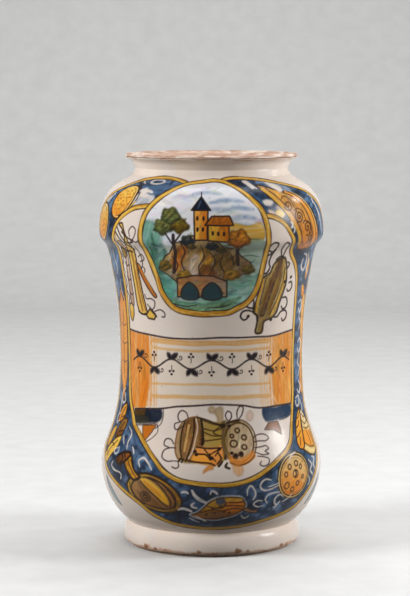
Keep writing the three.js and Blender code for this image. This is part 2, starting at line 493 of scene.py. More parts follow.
def clay_grain():
    """Group: bare, once-fired clay. Mottled body, turning lines, stains and grit."""
    made = bpy.data.node_groups.get("Clay grain")
    if made:
        return made
    tree, given, out = group_tree(
        "Clay grain",
        [("Colour", "Color", (0.6, 0.4, 0.3, 1)), ("Stain", "Color", (0.3, 0.15, 0.08, 1)),
         ("Bloom", "Color", (0.8, 0.7, 0.62, 1)), ("Stained", "Float", 0.6), ("Scale", "Float", 1.0)],
        [("Colour", "Color"), ("Roughness", "Float"), ("Height", "Float")])
    where = node(tree, "ShaderNodeTexCoord").outputs["Object"]
    stretch = node(tree, "ShaderNodeMapping", {0: where, "Scale": (1.0, 1.0, 6.0)})
    mottle_scale, blotch_scale, grit_scale, speck_scale = [
        maths(tree, "MULTIPLY", given["Scale"], per_metre) for per_metre in (60, 45, 900, 420)]
    mottle = noise(tree, mottle_scale, stretch.outputs[0], detail=6.0, roughness=0.65)
    blotch = noise(tree, blotch_scale, stretch.outputs[0], detail=5.0, roughness=0.7)
    grit = noise(tree, grit_scale, where, detail=3.0)
    body = mixed(tree, spread(tree, mottle, 0.42, 0.62), given["Colour"], given["Bloom"])
    stained = maths(tree, "MULTIPLY", spread(tree, blotch, 0.52, 0.72), given["Stained"])
    dirty = mixed(tree, stained, body, given["Stain"])
    specks = texture(tree, "Voronoi", speck_scale, where)
    speck = maths(tree, "MULTIPLY", spread(tree, specks.outputs["Distance"], 0.08, 0.2, 1.0, 0.0),
                  spread(tree, grit, 0.55, 0.7))
    link(tree, mixed(tree, speck, dirty, given["Stain"]), out["Colour"])
    link(tree, spread(tree, grit, 0.3, 0.7, 0.72, 0.92), out["Roughness"])
    height = maths(tree, "ADD", maths(tree, "MULTIPLY", grit, 0.5), mottle)
    link(tree, maths(tree, "SUBTRACT", height, speck), out["Height"])
    return tree


def material(name):
    """A new node material with its Principled shader."""
    made = bpy.data.materials.new(name)
    made.use_nodes = True
    tree = made.node_tree
    return made, tree, tree.nodes["Principled BSDF"]


def bumped(tree, shader, height, strength, distance):
    """Raises a shader's surface by a height, at most by the distance in metres."""
    made = node(tree, "ShaderNodeBump", {"Strength": strength, "Distance": distance, "Height": height})
    link(tree, made.outputs[0], shader.inputs["Normal"])


def painted_glaze():
    """Glossy tin glaze that takes its colours from the painting kept on the surface."""
    made, tree, shader = material("painted_tin_glaze")
    painting = node(tree, "ShaderNodeAttribute", attribute_name="painting")
    skin = node(tree, "ShaderNodeGroup", node_tree=glaze_skin(), inputs={
        "Colour": painting.outputs["Color"], "Cloud": 0.6, "Crackle": 0.05, "Pinholes": 0.55,
        "Speck colour": linear((0.42, 0.31, 0.25))})
    link(tree, skin.outputs["Colour"], shader.inputs["Base Color"])
    dry = maths(tree, "MULTIPLY", painting.outputs["Alpha"], 0.12)
    link(tree, maths(tree, "ADD", skin.outputs["Roughness"], dry), shader.inputs["Roughness"])
    height = maths(tree, "ADD", skin.outputs["Height"],
                   maths(tree, "MULTIPLY", painting.outputs["Alpha"], 0.25))
    bumped(tree, shader, height, strength=0.32, distance=0.9 * MM)
    shader.inputs["IOR"].default_value = 1.5
    shader.inputs["Specular IOR Level"].default_value = 0.2
    return made


def lining_glaze():
    """Thinner, creamier glaze inside the jar."""
    made, tree, shader = material("lining_glaze")
    skin = node(tree, "ShaderNodeGroup", node_tree=glaze_skin(), inputs={
        "Colour": linear((0.86, 0.81, 0.75)), "Cloud": 0.8, "Crackle": 0.35, "Pinholes": 0.8,
        "Speck colour": linear((0.45, 0.33, 0.25))})
    link(tree, skin.outputs["Colour"], shader.inputs["Base Color"])
    link(tree, skin.outputs["Roughness"], shader.inputs["Roughness"])
    bumped(tree, shader, skin.outputs["Height"], strength=0.45, distance=1.2 * MM)
    return made


def bare_clay(name, colour, stain, bloom, stained, scale):
    """Matt fired clay, as the worn lip, the foot's edge and the hidden walls have it.

    Bloom is the paler colour that mottles it, and stained says how far stain darkens it, from 0 to 1.
    """
    made, tree, shader = material(name)
    grain = node(tree, "ShaderNodeGroup", node_tree=clay_grain(), inputs={
        "Colour": linear(colour), "Stain": linear(stain), "Bloom": linear(bloom),
        "Stained": stained, "Scale": scale})
    link(tree, grain.outputs["Colour"], shader.inputs["Base Color"])
    link(tree, grain.outputs["Roughness"], shader.inputs["Roughness"])
    bumped(tree, shader, grain.outputs["Height"], strength=0.6, distance=0.5 * MM)
    return made


# The painter's hand

PAINTING_SEED = 11
LATTICE = 256


class Canvas:
    """The outside of the jar unrolled: a row for each height and a column for each azimuth.

    colour is the paint that shows, body how thickly it lies (0 to 1), and free where paint may go.
    """

    def __init__(self, line, azimuths, ground):
        self.radius = line[:, 0]
        self.height = line[:, 1]
        self.up = np.concatenate([[0], np.cumsum(np.linalg.norm(np.diff(line, axis=0), axis=1))])
        self.azimuth = azimuths
        self.colour = np.broadcast_to(np.asarray(ground, float), (len(line), len(azimuths), 3)).copy()
        self.body = np.zeros((len(line), len(azimuths)))
        self.free = np.ones_like(self.body)
        self.random = np.random.default_rng(PAINTING_SEED)
        self.table = self.random.random((LATTICE, LATTICE))

    def at(self, places):
        """Places (azimuth, height) as (azimuth, way up the wall)."""
        places = np.asarray(places, float)
        return np.stack([places[:, 0], np.interp(places[:, 1], self.height, self.up)], 1)

    def girth(self, up):
        """Millimetres round the jar for each degree, at a way up the wall."""
        return np.interp(up, self.up, self.radius) * math.pi / HALF_TURN

    def patch(self, low, high, margin):
        """Rows and columns of the part of the canvas between two corners."""
        rows = slice(*np.searchsorted(self.up, (low[1] - margin, high[1] + margin)))
        least_girth = 0.5
        widest = margin / max(min(self.girth(low[1]), self.girth(high[1])), least_girth)
        columns = slice(*np.searchsorted(self.azimuth, (low[0] - widest, high[0] + widest)))
        return rows, columns

    def noise(self, across, up, shift):
        """Smooth noise between 0 and 1 on a square lattice. The shift picks another part of it."""
        shift_across, shift_up = 17.3, 9.1
        across = across + shift * shift_across
        up = up + shift * shift_up
        left = np.floor(across).astype(int)
        below = np.floor(up).astype(int)
        fx = across - left
        fy = up - below
        fx = fx * fx * (3 - 2 * fx)
        fy = fy * fy * (3 - 2 * fy)

        def pick(i, j):
            return self.table[(left + i) % LATTICE, (below + j) % LATTICE]

        low = pick(0, 0) * (1 - fx) + pick(1, 0) * fx
        high = pick(0, 1) * (1 - fx) + pick(1, 1) * fx
        return low * (1 - fy) + high * fy

    def grid(self, rows, columns):
        """Millimetres round and up of every cell of a patch."""
        up = self.up[rows][:, None]
        across = self.azimuth[columns][None, :] * self.girth(self.up[rows])[:, None]
        return across, np.broadcast_to(up, across.shape)

    def keep_inside(self, places=None):
        """Keeps the paint inside a closed line from now on, or lets it go anywhere again."""
        self.free[:] = 1
        if places is not None:
            everywhere = slice(0, len(self.up)), slice(0, len(self.azimuth))
            self.free[:] = self.inside(self.curve(places, True), *everywhere)

    def lay(self, rows, columns, cover, colour, relief=0.0):
        """Lays a colour over a patch by its cover, from 0 to 1."""
        cover = cover * self.free[rows, columns]
        under = self.colour[rows, columns]
        under += (np.asarray(colour, float) - under) * cover[..., None]
        if relief:
            body = self.body[rows, columns]
            body += (relief - body) * cover

    def curve(self, places, closed, smooth=True, wobble=0.0):
        """Points (azimuth, way up) a millimetre apart along places, with the hand's slight wobble."""
        spots = self.at(places)
        scale = np.array([self.girth(spots[:, 1].mean()), 1.0])
        if closed and not smooth:
            spots = np.concatenate([spots, spots[:1]])
        line = flowing(spots * scale, 1.0, closed) if smooth else straight(spots * scale, 1.0)
        if wobble:
            phases = self.random.random(4) * 2 * math.pi
            along = np.arange(len(line))
            waves = [np.sin(along / length + phase) for length, phase in zip((4.1, 9.7, 4.7, 8.9), phases)]
            line = line + wobble * np.stack([waves[0] + waves[1], waves[2] + waves[3]], 1) / 2
            if closed:
                line[-1] = line[0]
        return line / scale

    def stroke(self, places, width, colour, strength=1.0, soft=0.45, taper=0.0, closed=False,
               smooth=True, wobble=0.18, vary=0.25, relief=0.6):
        """A brush stroke along places (azimuth, height).

        Taper thins its ends, and vary leaves it thinner in patches.
        """
        line = self.curve(places, closed, smooth, wobble)
        out_of_reach, patch_length, roundness = 9.0, 2.3, 0.6
        margin = width / 2 + soft + 0.6
        rows, columns = self.patch(line.min(0), line.max(0), margin)
        up = self.up[rows]
        azimuth = self.azimuth[columns]
        if len(up) < 2 or len(azimuth) < 2:
            return
        gap = np.full((len(up), len(azimuth)), out_of_reach)
        halves = np.full(len(line), width / 2)
        if taper:
            shares = np.clip(np.linspace(0, 1, len(line)), 0.02, 0.98)
            halves = halves * (1 - taper + taper * np.sin(math.pi * shares) ** roundness)
        girths = self.girth(up)
        for start, end, half in zip(line[:-1], line[1:], halves):
            low = np.minimum(start, end)
            high = np.maximum(start, end)
            girth = self.girth((low[1] + high[1]) / 2)
            i = slice(*np.searchsorted(up, (low[1] - margin, high[1] + margin)))
            j = slice(*np.searchsorted(azimuth, (low[0] - margin / girth, high[0] + margin / girth)))
            dx = (azimuth[j][None, :] - start[0]) * girths[i][:, None]
            dy = (up[i] - start[1])[:, None]
            way = (end - start) * (girth, 1)
            share = np.clip((dx * way[0] + dy * way[1]) / max(way @ way, 1e-9), 0, 1)
            distance = np.hypot(dx - share * way[0], dy - share * way[1]) - half
            gap[i, j] = np.minimum(gap[i, j], distance)
        cover = np.clip(0.5 - gap / soft, 0, 1) * strength
        if vary:
            across, higher = self.grid(rows, columns)
            cover = cover * (1 - vary * self.noise(across / patch_length, higher / patch_length, width))
        self.lay(rows, columns, cover, colour, relief)

    def inside(self, line, rows, columns):
        """Cover of the closed line over a patch, row by row."""
        azimuth = self.azimuth[columns]
        mask = np.zeros((len(self.up[rows]), len(azimuth)))
        starts, ends = line[:-1], line[1:]
        for i, up in enumerate(self.up[rows]):
            cut = (starts[:, 1] > up) != (ends[:, 1] > up)
            share = (up - starts[cut, 1]) / (ends[cut, 1] - starts[cut, 1])
            crossings = np.sort(starts[cut, 0] + share * (ends[cut, 0] - starts[cut, 0]))
            for left, right in zip(crossings[::2], crossings[1::2]):
                mask[i, slice(*np.searchsorted(azimuth, (left, right)))] = 1
        return mask

    def softened(self, mask, soft, rows, columns):
        """Blurs a mask by about soft millimetres."""
        step_up = np.diff(self.up[rows]).mean()
        step_across = np.diff(self.azimuth[columns]).mean() * self.girth(self.up[rows].mean())
        for axis, step in ((0, step_up), (1, step_across)):
            reach = max(1, round(soft / step / 1.6))
            span = 2 * reach + 1
            size = mask.shape[axis]
            for _ in range(2):
                before = np.repeat(np.take(mask, [0], axis), reach + 1, axis)
                after = np.repeat(np.take(mask, [-1], axis), reach, axis)
                total = np.cumsum(np.concatenate([before, mask, after], axis), axis)
                sums = np.take(total, range(span, span + size), axis) - np.take(total, range(0, size), axis)
                mask = sums / span
        return mask

    def wash(self, places, colour, to=None, lean=90.0, strength=1.0, soft=0.6, smooth=True,
             streak=0.0, streak_angle=0.0, streak_size=(9.0, 1.3), pool=0.15, relief=0.35, wobble=0.25):
        """A filled wash. It may grade to another colour, streak as a brush does, and pool at its edge.

        Lean and streak_angle are in degrees, streak_size is a streak's length and width, and to is the
        colour that it grades to.
        """
        line = self.curve(places, True, smooth, wobble)
        rows, columns = self.patch(line.min(0), line.max(0), 3 * soft + 1)
        if len(self.up[rows]) < 3 or len(self.azimuth[columns]) < 3:
            return
        mask = self.inside(line, rows, columns)
        cover = self.softened(mask, soft, rows, columns)
        across, up = self.grid(rows, columns)
        colour = np.asarray(colour, float)
        if to is not None:
            tilt = math.radians(lean)
            along = across * math.cos(tilt) + up * math.sin(tilt)
            low, high = along[mask > 0].min(), along[mask > 0].max()
            share = np.clip((along - low) / max(high - low, TINY), 0, 1)
            share = np.clip(share + 0.35 * (self.noise(across / 4, up / 4, lean) - 0.5), 0, 1)
            share = share * share * (3 - 2 * share)
            colour = np.asarray(to, float) * share[..., None] + colour * (1 - share[..., None])
        if pool:
            edge = 4 * self.softened(mask, 1.6 * soft, rows, columns)
            edge = np.clip(edge * (1 - edge / 4), 0, 1)
            colour = colour * (1 - pool * edge[..., None])
        if streak:
            tilt = math.radians(streak_angle)
            along = (across * math.cos(tilt) + up * math.sin(tilt)) / streak_size[0]
            aside = (up * math.cos(tilt) - across * math.sin(tilt)) / streak_size[1]
            broad = self.noise(along, aside, streak)
            fine = self.noise(2.1 * along, 2.7 * aside, 1.0)
            brushed = 0.65 * broad + 0.35 * fine
            cover = cover * (1 - streak * np.clip(1.6 * brushed - 0.25, 0, 1))
        self.lay(rows, columns, cover * strength, colour, relief)


def leaned(points, angle):
    """Local points turned by an angle in degrees."""
    turn_by = math.radians(angle)
    x, y = points[:, 0], points[:, 1]
    return np.stack([x * math.cos(turn_by) - y * math.sin(turn_by),
                     x * math.sin(turn_by) + y * math.cos(turn_by)], 1)


class Motif:
    """A sheet of paper laid on the jar: millimetres from its centre, turned by some degrees."""

    def __init__(self, canvas, azimuth, height, lean=0.0):
        self.canvas = canvas
        self.centre = canvas.at([(azimuth, height)])[0]
        self.lean = lean

    def __call__(self, points):
        """Local points as places on the jar (azimuth, height)."""
        canvas = self.canvas
        x, y = leaned(np.asarray(points, float), self.lean).T
        up = self.centre[1] + y
        return np.stack([self.centre[0] + x / canvas.girth(up), np.interp(up, canvas.up, canvas.height)], 1)


def ellipse(width, height, centre=(0.0, 0.0), start=0.0, sweep=FULL_TURN, count=16):
    """Points round an ellipse, from a start angle through a sweep, in degrees."""
    full = abs(sweep) >= FULL_TURN
    angles = np.radians(start + sweep * np.arange(count) / (count if full else count - 1))
    return np.stack([centre[0] + width / 2 * np.cos(angles), centre[1] + height / 2 * np.sin(angles)], 1)


def spiral(radius, turns, start, centre=(0.0, 0.0), count=30):
    """Points of a spiral that winds in towards its centre."""
    share = np.linspace(0, 1, count)
    angles = math.radians(start) + share * turns * 2 * math.pi
    reach = radius * (1 - 0.9 * share)
    return np.stack([centre[0] + reach * np.cos(angles), centre[1] + reach * np.sin(angles)], 1)


# The painting: places are pairs of degrees round from the front and millimetres up.
# In its functions c is the canvas, p the paints by name, and m the medallion's sheet.

MEDALLION = [
    (0, 282), (-6, 281), (-15, 279.5), (-20.5, 277), (-25, 273.5), (-29, 269.5), (-32.5, 264.5), (-35, 259),
    (-36.5, 253), (-37.5, 246), (-37.8, 239), (-37, 230), (-34.5, 220), (-32, 210), (-30, 200), (-25, 191),
    (-19.5, 186.5), (-10, 184.5), (0, 184), (10, 185), (15, 188), (20, 191), (24.5, 197), (27, 204),
    (28.5, 212), (29.5, 220), (30.2, 228), (29.5, 238), (29, 245), (28, 252), (26, 261), (22, 268.5),
    (18.5, 273.5), (15, 277), (10, 280), (6, 281.5)]
FIELD = [(-33, 263.5), (-37, 263), (-43.5, 261.5), (-50, 256.5), (-55, 250.5), (-58, 245), (-59.5, 239),
         (-60.5, 225), (-61, 200), (-61.5, 160), (-60.5, 130), (-58.5, 116), (-53.5, 105), (-50.5, 98),
         (-44, 91), (-37.5, 83.5), (-30.5, 75), (-25, 67.5), (-17.5, 62), (-8.5, 59.5), (0, 58.7),
         (10.5, 58.7), (18.5, 61), (26, 65.5), (31, 69.5), (38.5, 76), (45, 81.5), (50, 88.5), (54, 99),
         (57, 109), (59.5, 120), (60.5, 140), (61, 170), (59.5, 200), (54.5, 218), (48.5, 227), (47, 232),
         (45.5, 238.5), (43, 243.5), (40, 249), (36.5, 253), (32, 256), (27, 257)]
OUTER_EDGE = [(-17, 280.6), (-22, 282), (-28, 283), (-36, 283.4), (-44, 282.8), (-53, 280.8), (-63, 276),
              (-73, 269), (-80, 258), (-83.5, 246), (-84, 234), (-82, 222), (-79.5, 200), (-78, 170),
              (-78, 140), (-79, 115), (-80, 95), (-78, 76), (-70, 62), (-57, 51.5), (-43, 41), (-34, 32),
              (-24, 26.5), (-14, 24.3), (0, 23), (12, 23.8), (21.5, 25), (31, 27.5), (43, 31), (52, 35),
              (59, 42), (64, 49), (68, 57), (72, 66), (75, 77), (76.5, 90), (77.5, 110), (79, 140),
              (80.5, 170), (81.5, 200), (83, 222), (84.5, 236), (83, 248), (78, 260), (72, 268),
              (65.5, 273.5), (57, 276.6), (45, 280), (33, 282.2), (26, 283), (15.5, 283.4), (9.5, 282.8),
              (6, 281.4)]


def blend(first, second, share):
    """A paint between two others."""
    return np.asarray(first) * (1 - share) + np.asarray(second) * share


def strokes(c, paint, width, *lines, **how):
    """Several strokes of one paint and width."""
    for line in lines:
        c.stroke(line, width, paint, **how)


def dots(c, paint, width, *places):
    """Touches of the brush's tip."""
    for azimuth, height in places:
        c.stroke([(azimuth, height), (azimuth + 0.3, height + 0.3)], width, paint, vary=0, wobble=0)


def touches(c, places, count, length, width, lean, contrast=0.6):
    """Loose touches of the brush inside an outline, lighter or darker than the paint under them."""
    line = c.curve(places, True)
    rows, columns = c.patch(line.min(0), line.max(0), 1)
    mask = c.inside(line, rows, columns)
    rim = max(1, round(0.4 * length / np.diff(c.up[rows]).mean()))
    deep = mask[2 * rim:] * mask[:-2 * rim] * mask[rim:-rim]
    for cell in c.random.choice(np.flatnonzero(deep), count):
        i, j = divmod(int(cell), mask.shape[1])
        i, j = i + rows.start + rim, j + columns.start
        size, turn_by, *shades = c.random.random(6)
        shade = 1 + contrast * (shades[0] - 0.55) + 0.16 * (np.array(shades[1:]) - 0.5)
        angle = math.radians(lean + 60 * (turn_by - 0.5))
        reach = length * (0.4 + size) / 2
        across, up = reach * math.cos(angle) / c.girth(c.up[i]), reach * math.sin(angle)
        ends = [(c.azimuth[j] - across, c.height[i] - up), (c.azimuth[j] + across, c.height[i] + up)]
        paint = np.clip(c.colour[i, j] * shade, 0, 1)
        c.stroke(ends, width * (0.5 + size), paint, 0.6, soft=0.6, taper=0.5, vary=0.5, wobble=0, relief=0)


def filled(c, places, paint, to, edge, line=1.1, lively=0, lean=90, **how):
    """A shape washed in, touched up by as many strokes as lively says, and outlined in the edge's paint."""
    c.wash(places, paint, to=to, lean=lean, **how)
    if lively:
        touches(c, places, lively, 4.5, 0.9, how.get("streak_angle", 0))
    c.stroke(places, line, edge, closed=True, smooth=how.get("smooth", True))


def bowed(places):
    """A round bow through three places, instead of a pointed one."""
    first, middle, last = np.asarray(places, float)
    bend = 2 * middle - (first + last) / 2
    t = np.linspace(0, 1, 7)[:, None]
    return first * (1 - t) ** 2 + 2 * bend * t * (1 - t) + last * t * t


def blue_ground(c, p):
    """The cobalt ground of the border, deeper below, blotched and streaked by the brush."""
    c.keep_inside(OUTER_EDGE)
    middle_blue = blend(p.cobalt, p.pale_blue, 0.42)
    light_blue = blend(p.cobalt, p.pale_blue, 0.8)
    c.wash(OUTER_EDGE, p.cobalt, pool=0, relief=0.5)
    c.wash(OUTER_EDGE, middle_blue, soft=0.8, streak=1.0, streak_angle=72, streak_size=(13, 3.5), pool=0)
    deep = [(-62, 60), (-50, 50), (-36, 35), (-18, 26), (0, 24), (24, 26), (44, 32), (60, 45), (66, 58),
            (56, 66), (40, 74), (30, 68), (18, 60), (0, 57), (-18, 61), (-30, 70), (-46, 66)]
    c.wash(deep, blend(p.navy, p.cobalt, 0.4), soft=3.0, pool=0)
    c.wash(deep, middle_blue, soft=1.5, streak=1.0, streak_angle=25, streak_size=(8, 3), strength=0.6,
           pool=0)
    c.wash([(-58, 104), (-54, 108), (-48, 92), (-38, 80), (-31, 68), (-40, 64), (-52, 66), (-56, 84)],
           blend(middle_blue, light_blue, 0.7), soft=1.6, streak=0.6, streak_angle=-70,
           streak_size=(13, 2.4), pool=0)
    line = c.curve(OUTER_EDGE, True)
    rows, columns = c.patch(line.min(0), line.max(0), 0)
    across, up = c.grid(rows, columns)
    ground = c.inside(line, rows, columns)
    for shift, size, paint, strength in (
            (1, 14, p.navy, 0.6), (2, 5, p.navy, 0.7), (3, 6, light_blue, 0.7)):
        cloud = c.noise(across / size + c.noise(across / 9, up / 9, shift), up / (0.7 * size), shift)
        c.lay(rows, columns, ground * strength * np.clip((cloud - 0.5) / 0.4, 0, 1), paint)
    for places in ([(-10, 58), (-2, 57), (0, 50), (-7, 46), (-12, 51)],
                   [(-23, 46), (-12, 48), (-10, 38), (-17, 33)],
                   [(-24, 34), (-10, 30), (6, 26), (22, 28), (20, 34), (0, 32), (-14, 38)],
                   [(-66, 66), (-56, 74), (-49, 64), (-56, 54)],
                   [(-44, 275), (-49, 278), (-50, 273), (-44, 270.5), (-38, 273)],
                   [(11, 283), (20, 282), (33, 271), (30, 266), (20, 276), (10, 280.5)],
                   [(-62, 258), (-56.5, 257.5), (-57.5, 247), (-61.5, 246)],
                   [(-63.5, 250), (-60.5, 250), (-61.5, 232), (-64.5, 234)],
                   [(-76, 236), (-66, 236), (-66, 228), (-76, 228)],
                   [(50, 232), (66, 233), (70, 224), (52, 222)]):
        c.wash(places, p.navy, soft=1.4, strength=0.8, streak=0.4, streak_angle=20, pool=0)
    for azimuth, low, high, lean in (
            (-65, 190, 230, 2), (-69, 188, 226, 3), (-73, 192, 222, 2), (-65, 96, 128, -4),
            (-70, 102, 124, -5), (64, 172, 196, -2), (70, 202, 226, 2), (66, 104, 152, -3),
            (71, 118, 164, -2), (74, 234, 262, -2), (-52, 68, 88, 3), (-45, 70, 92, 4)):
        steps = np.linspace(0, 1, 4)
        c.stroke([(azimuth + lean * s, low + (high - low) * s) for s in steps], 2.2, light_blue, 0.35,
                 soft=1.2, taper=0.8, vary=0.7)
    touches(c, OUTER_EDGE, 1100, 5, 1.9, 60, 1.5)
    lavender = blend(p.pale_blue, p.white, 0.75)
    c.wash([(-45, 271), (-40, 274.5), (-33, 272), (-32, 264), (-39, 262), (-46, 264)], lavender, soft=1.0)
    c.wash([(-44, 268), (-37, 270), (-35, 266), (-42, 264)], blend(p.pale_blue, p.outline, 0.15), soft=1.2,
           streak=0.7, streak_angle=40, strength=0.5)
    c.wash([(-37, 279), (-26, 279), (-25, 276), (-33, 271), (-41, 274.5)],
           blend(p.cobalt, p.pale_blue, 0.3), soft=1.0, streak=0.4, streak_angle=30)
    c.wash([(34, 281.5), (44, 279.5), (52, 275), (50, 271.5), (42, 274), (36, 277.5)], lavender, soft=1.2,
           streak=0.6, streak_angle=-30, strength=0.75)
    c.wash([(30, 264), (34, 267), (40, 262), (40, 255), (33, 257)], blend(p.pale_blue, p.outline, 0.4),
           soft=1.0)
    c.wash([(34.5, 262.5), (38.5, 265.5), (42, 260), (38, 258.5)], blend(lavender, p.clay_stain, 0.25),
           soft=0.8)
    c.wash([(39, 257), (43.5, 254), (47.5, 246), (50.5, 237), (47.5, 235), (44, 243), (40, 251)],
           blend(p.navy, p.cobalt, 0.2), to=blend(p.pale_blue, p.outline, 0.5), soft=0.8)
    c.keep_inside()


def white_curls(c, p):
    """Loose white curls and flourishes on the blue."""
    white = blend(p.white, p.pale_blue, 0.08)
    loop = Motif(c, -37, 280.4)
    c.stroke(loop(ellipse(12, 5.6)), 1.9, white, closed=True)
    for places in ([(-45, 274), (-41, 276), (-38, 274), (-41, 272)],
                   [(-43, 271), (-39, 272), (-35, 270), (-39, 269)],
                   [(20, 281.5), (23, 282), (26.5, 277), (24.5, 275.5), (21.5, 279)],
                   [(36, 279.5), (41, 279), (45, 275), (42, 273), (38, 276.5)],
                   [(27.5, 267.5), (31, 268.5), (34, 266.5), (32, 263.5), (28.5, 264)],
                   [(-76, 266), (-72, 271), (-70, 269), (-73, 264)]):
        c.wash(places, white, soft=0.7, pool=0.05, relief=0.7)
    curls = (
        (2.2, [(-42, 271), (-39, 274), (-35, 273)]), (1.4, [(-46, 279), (-49, 281), (-44, 282)]),
        (1.6, [(-71, 264), (-69, 268), (-67, 271)]), (1.1, [(-74, 255), (-73, 259), (-71, 262)]),
        (1.3, [(21, 281), (24, 279), (27, 276)]), (1.2, [(36, 280), (41, 279), (45, 276)]),
        (1.5, [(43, 246), (44.5, 249), (43.5, 251)]), (1.0, [(45, 243), (46, 246), (44.5, 248)]),
        (1.5, [(68, 266), (70, 262), (72, 255), (73, 250)]),
        (1.2, [(71, 258), (74, 254), (75, 246), (78, 240)]), (1.6, [(66, 270), (69, 268), (68, 264)]),
        (1.6, [(62, 226), (66, 224), (67, 218), (64, 213), (61, 216), (62, 222)]),
        (1.2, [(68, 226), (71, 219), (69, 214), (72, 210)]),
        (1.5, [(65, 188), (69, 190), (71, 185), (68, 181), (66, 184)]),
        (1.3, [(70, 183), (68, 177), (71, 173), (69, 168)]),
        (1.6, [(68, 158), (72, 160), (74, 154), (70, 150), (68, 153)]),
        (1.3, [(70, 148), (68, 142), (72, 138), (69, 132)]),
        (1.6, [(69, 128), (72, 124), (69, 119), (66, 122)]),
        (1.5, [(63, 116), (67, 117), (67, 111), (63, 110), (62, 114)]),
        (1.2, [(69, 114), (71, 108), (68, 104)]), (1.1, [(-69, 228), (-70, 222), (-68, 216), (-70, 210)]),
        (1.0, [(-66, 206), (-67, 198), (-65, 192)]),
        (1.3, [(-66, 123), (-70, 119), (-69, 112), (-65, 113), (-66, 119)]),
        (1.2, [(-72, 118), (-71, 108), (-73, 100)]), (1.1, [(-69, 104), (-73, 101), (-72, 96), (-69, 98)]),
        (1.1, [(-55, 96), (-51, 91), (-52, 85), (-51.5, 80)]), (1.0, [(-58, 89), (-57, 86), (-55.5, 83)]),
        (1.1, [(-59.5, 79.5), (-63, 77), (-61.5, 74.5), (-58.5, 76.5), (-59, 80)]),
        (1.2, [(-62, 69), (-63.5, 65.5), (-60, 62.5), (-56, 62)]),
        (1.1, [(-56, 62), (-53.5, 60.5), (-54, 57)]),
        (1.4, [(-39.5, 69), (-40.5, 73), (-37.5, 75.5), (-34.5, 72.5), (-32, 68)]),
        (1.0, [(-47.5, 82), (-46, 80), (-45, 77.5)]), (2.2, [(-10, 54), (-8.5, 50), (-6, 47), (-3, 45)]),
        (1.4, [(-0.5, 51.5), (0.5, 54), (3, 51.5)]), (1.5, [(-15.5, 52), (-13.5, 53), (-12, 52)]),
        (1.5, [(-9, 44.5), (-10.5, 42), (-8, 40.5)]), (1.9, [(-18, 38.5), (-15, 39.5), (-11, 37.5)]),
        (1.4, [(-9, 33.5), (-6, 31.5), (-3.5, 29.5)]),
        (1.2, [(18.5, 50), (18.5, 54.5), (20, 57), (22, 54), (23, 50), (22, 46)]),
        (1.2, [(36.5, 55.5), (31, 53), (27.5, 53), (25.5, 55.5), (26, 59), (28.5, 61), (31.5, 60)]),
        (0.8, [(36.5, 57.5), (33.5, 56), (30, 55)]),
        (1.2, [(30.5, 42.5), (29, 45.5), (30.5, 49), (34, 50), (37.5, 50)]),
        (1.1, [(27.5, 44.5), (25, 45), (22.5, 42.5), (25, 40), (28.5, 40.5)]),
        (1.2, [(40.5, 46), (38, 48), (35.5, 46), (35.5, 42), (37.5, 40), (39, 42.5)]),
        (1.0, [(37, 39.5), (36.5, 38), (35.5, 38.5)]), (0.9, [(40.5, 41.5), (44.5, 44), (46.5, 46.5)]),
        (1.3, [(16.5, 34), (18.5, 31.5), (21, 33)]), (1.6, [(61, 70), (64, 66), (62, 62), (65, 58)]),
        (1.3, [(65, 72), (68, 70), (66, 66), (68, 62)]), (1.2, [(60, 58), (62, 54), (61, 51)]),
        (1.0, [(-27, 70), (-24, 66), (-22, 67)]), (1.1, [(44, 72), (46, 76), (50, 78)]))
    for width, places in curls:
        line = bowed(places) if len(places) == 3 else places
        c.stroke(line, 1.3 * width, white, soft=0.5, taper=0.5, relief=0.8)


def left_shoulder(c, p):
    """Two shields on the left of the shoulder."""
    for azimuth, height, lean, width, rise in ((-54.6, 266.6, -30, 23, 31), (-73.5, 249.5, -3, 25, 29)):
        spot = Motif(c, azimuth, height, lean)
        filled(c, spot(ellipse(width, rise)), blend(p.orange, p.straw, 0.3), blend(p.straw, p.ochre, 0.35),
               p.umber, 1.5, lively=60, lean=75, streak_angle=30)
        c.stroke(spot(ellipse(width - 3, rise - 3, start=-100, sweep=250)), 0.9,
                 blend(p.straw, p.white, 0.3), taper=0.3)
        c.stroke(spot(ellipse(width - 5, rise - 5, start=-80, sweep=190)), 0.8, p.brown, taper=0.6)
        ticks, golden_angle = 26, 2.4
        for i in range(ticks):
            reach = 0.37 * math.sqrt((i + 0.5) / ticks)
            x = width * reach * math.cos(golden_angle * i)
            y = rise * reach * math.sin(golden_angle * i)
            tip = 0.45 * math.cos(5.1 * i)
            c.stroke(spot([(x - 0.7, y - tip), (x + 0.7, y + tip)]), 0.7, p.brown, 0.7, wobble=0.1)
    c.stroke([(-48, 279), (-43.5, 272), (-45, 264), (-51, 257.5), (-55, 255)], 1.1, p.umber)
    c.stroke([(-44, 266), (-48.5, 259.5), (-53, 256)], 1.2, blend(p.ochre, p.straw, 0.4))


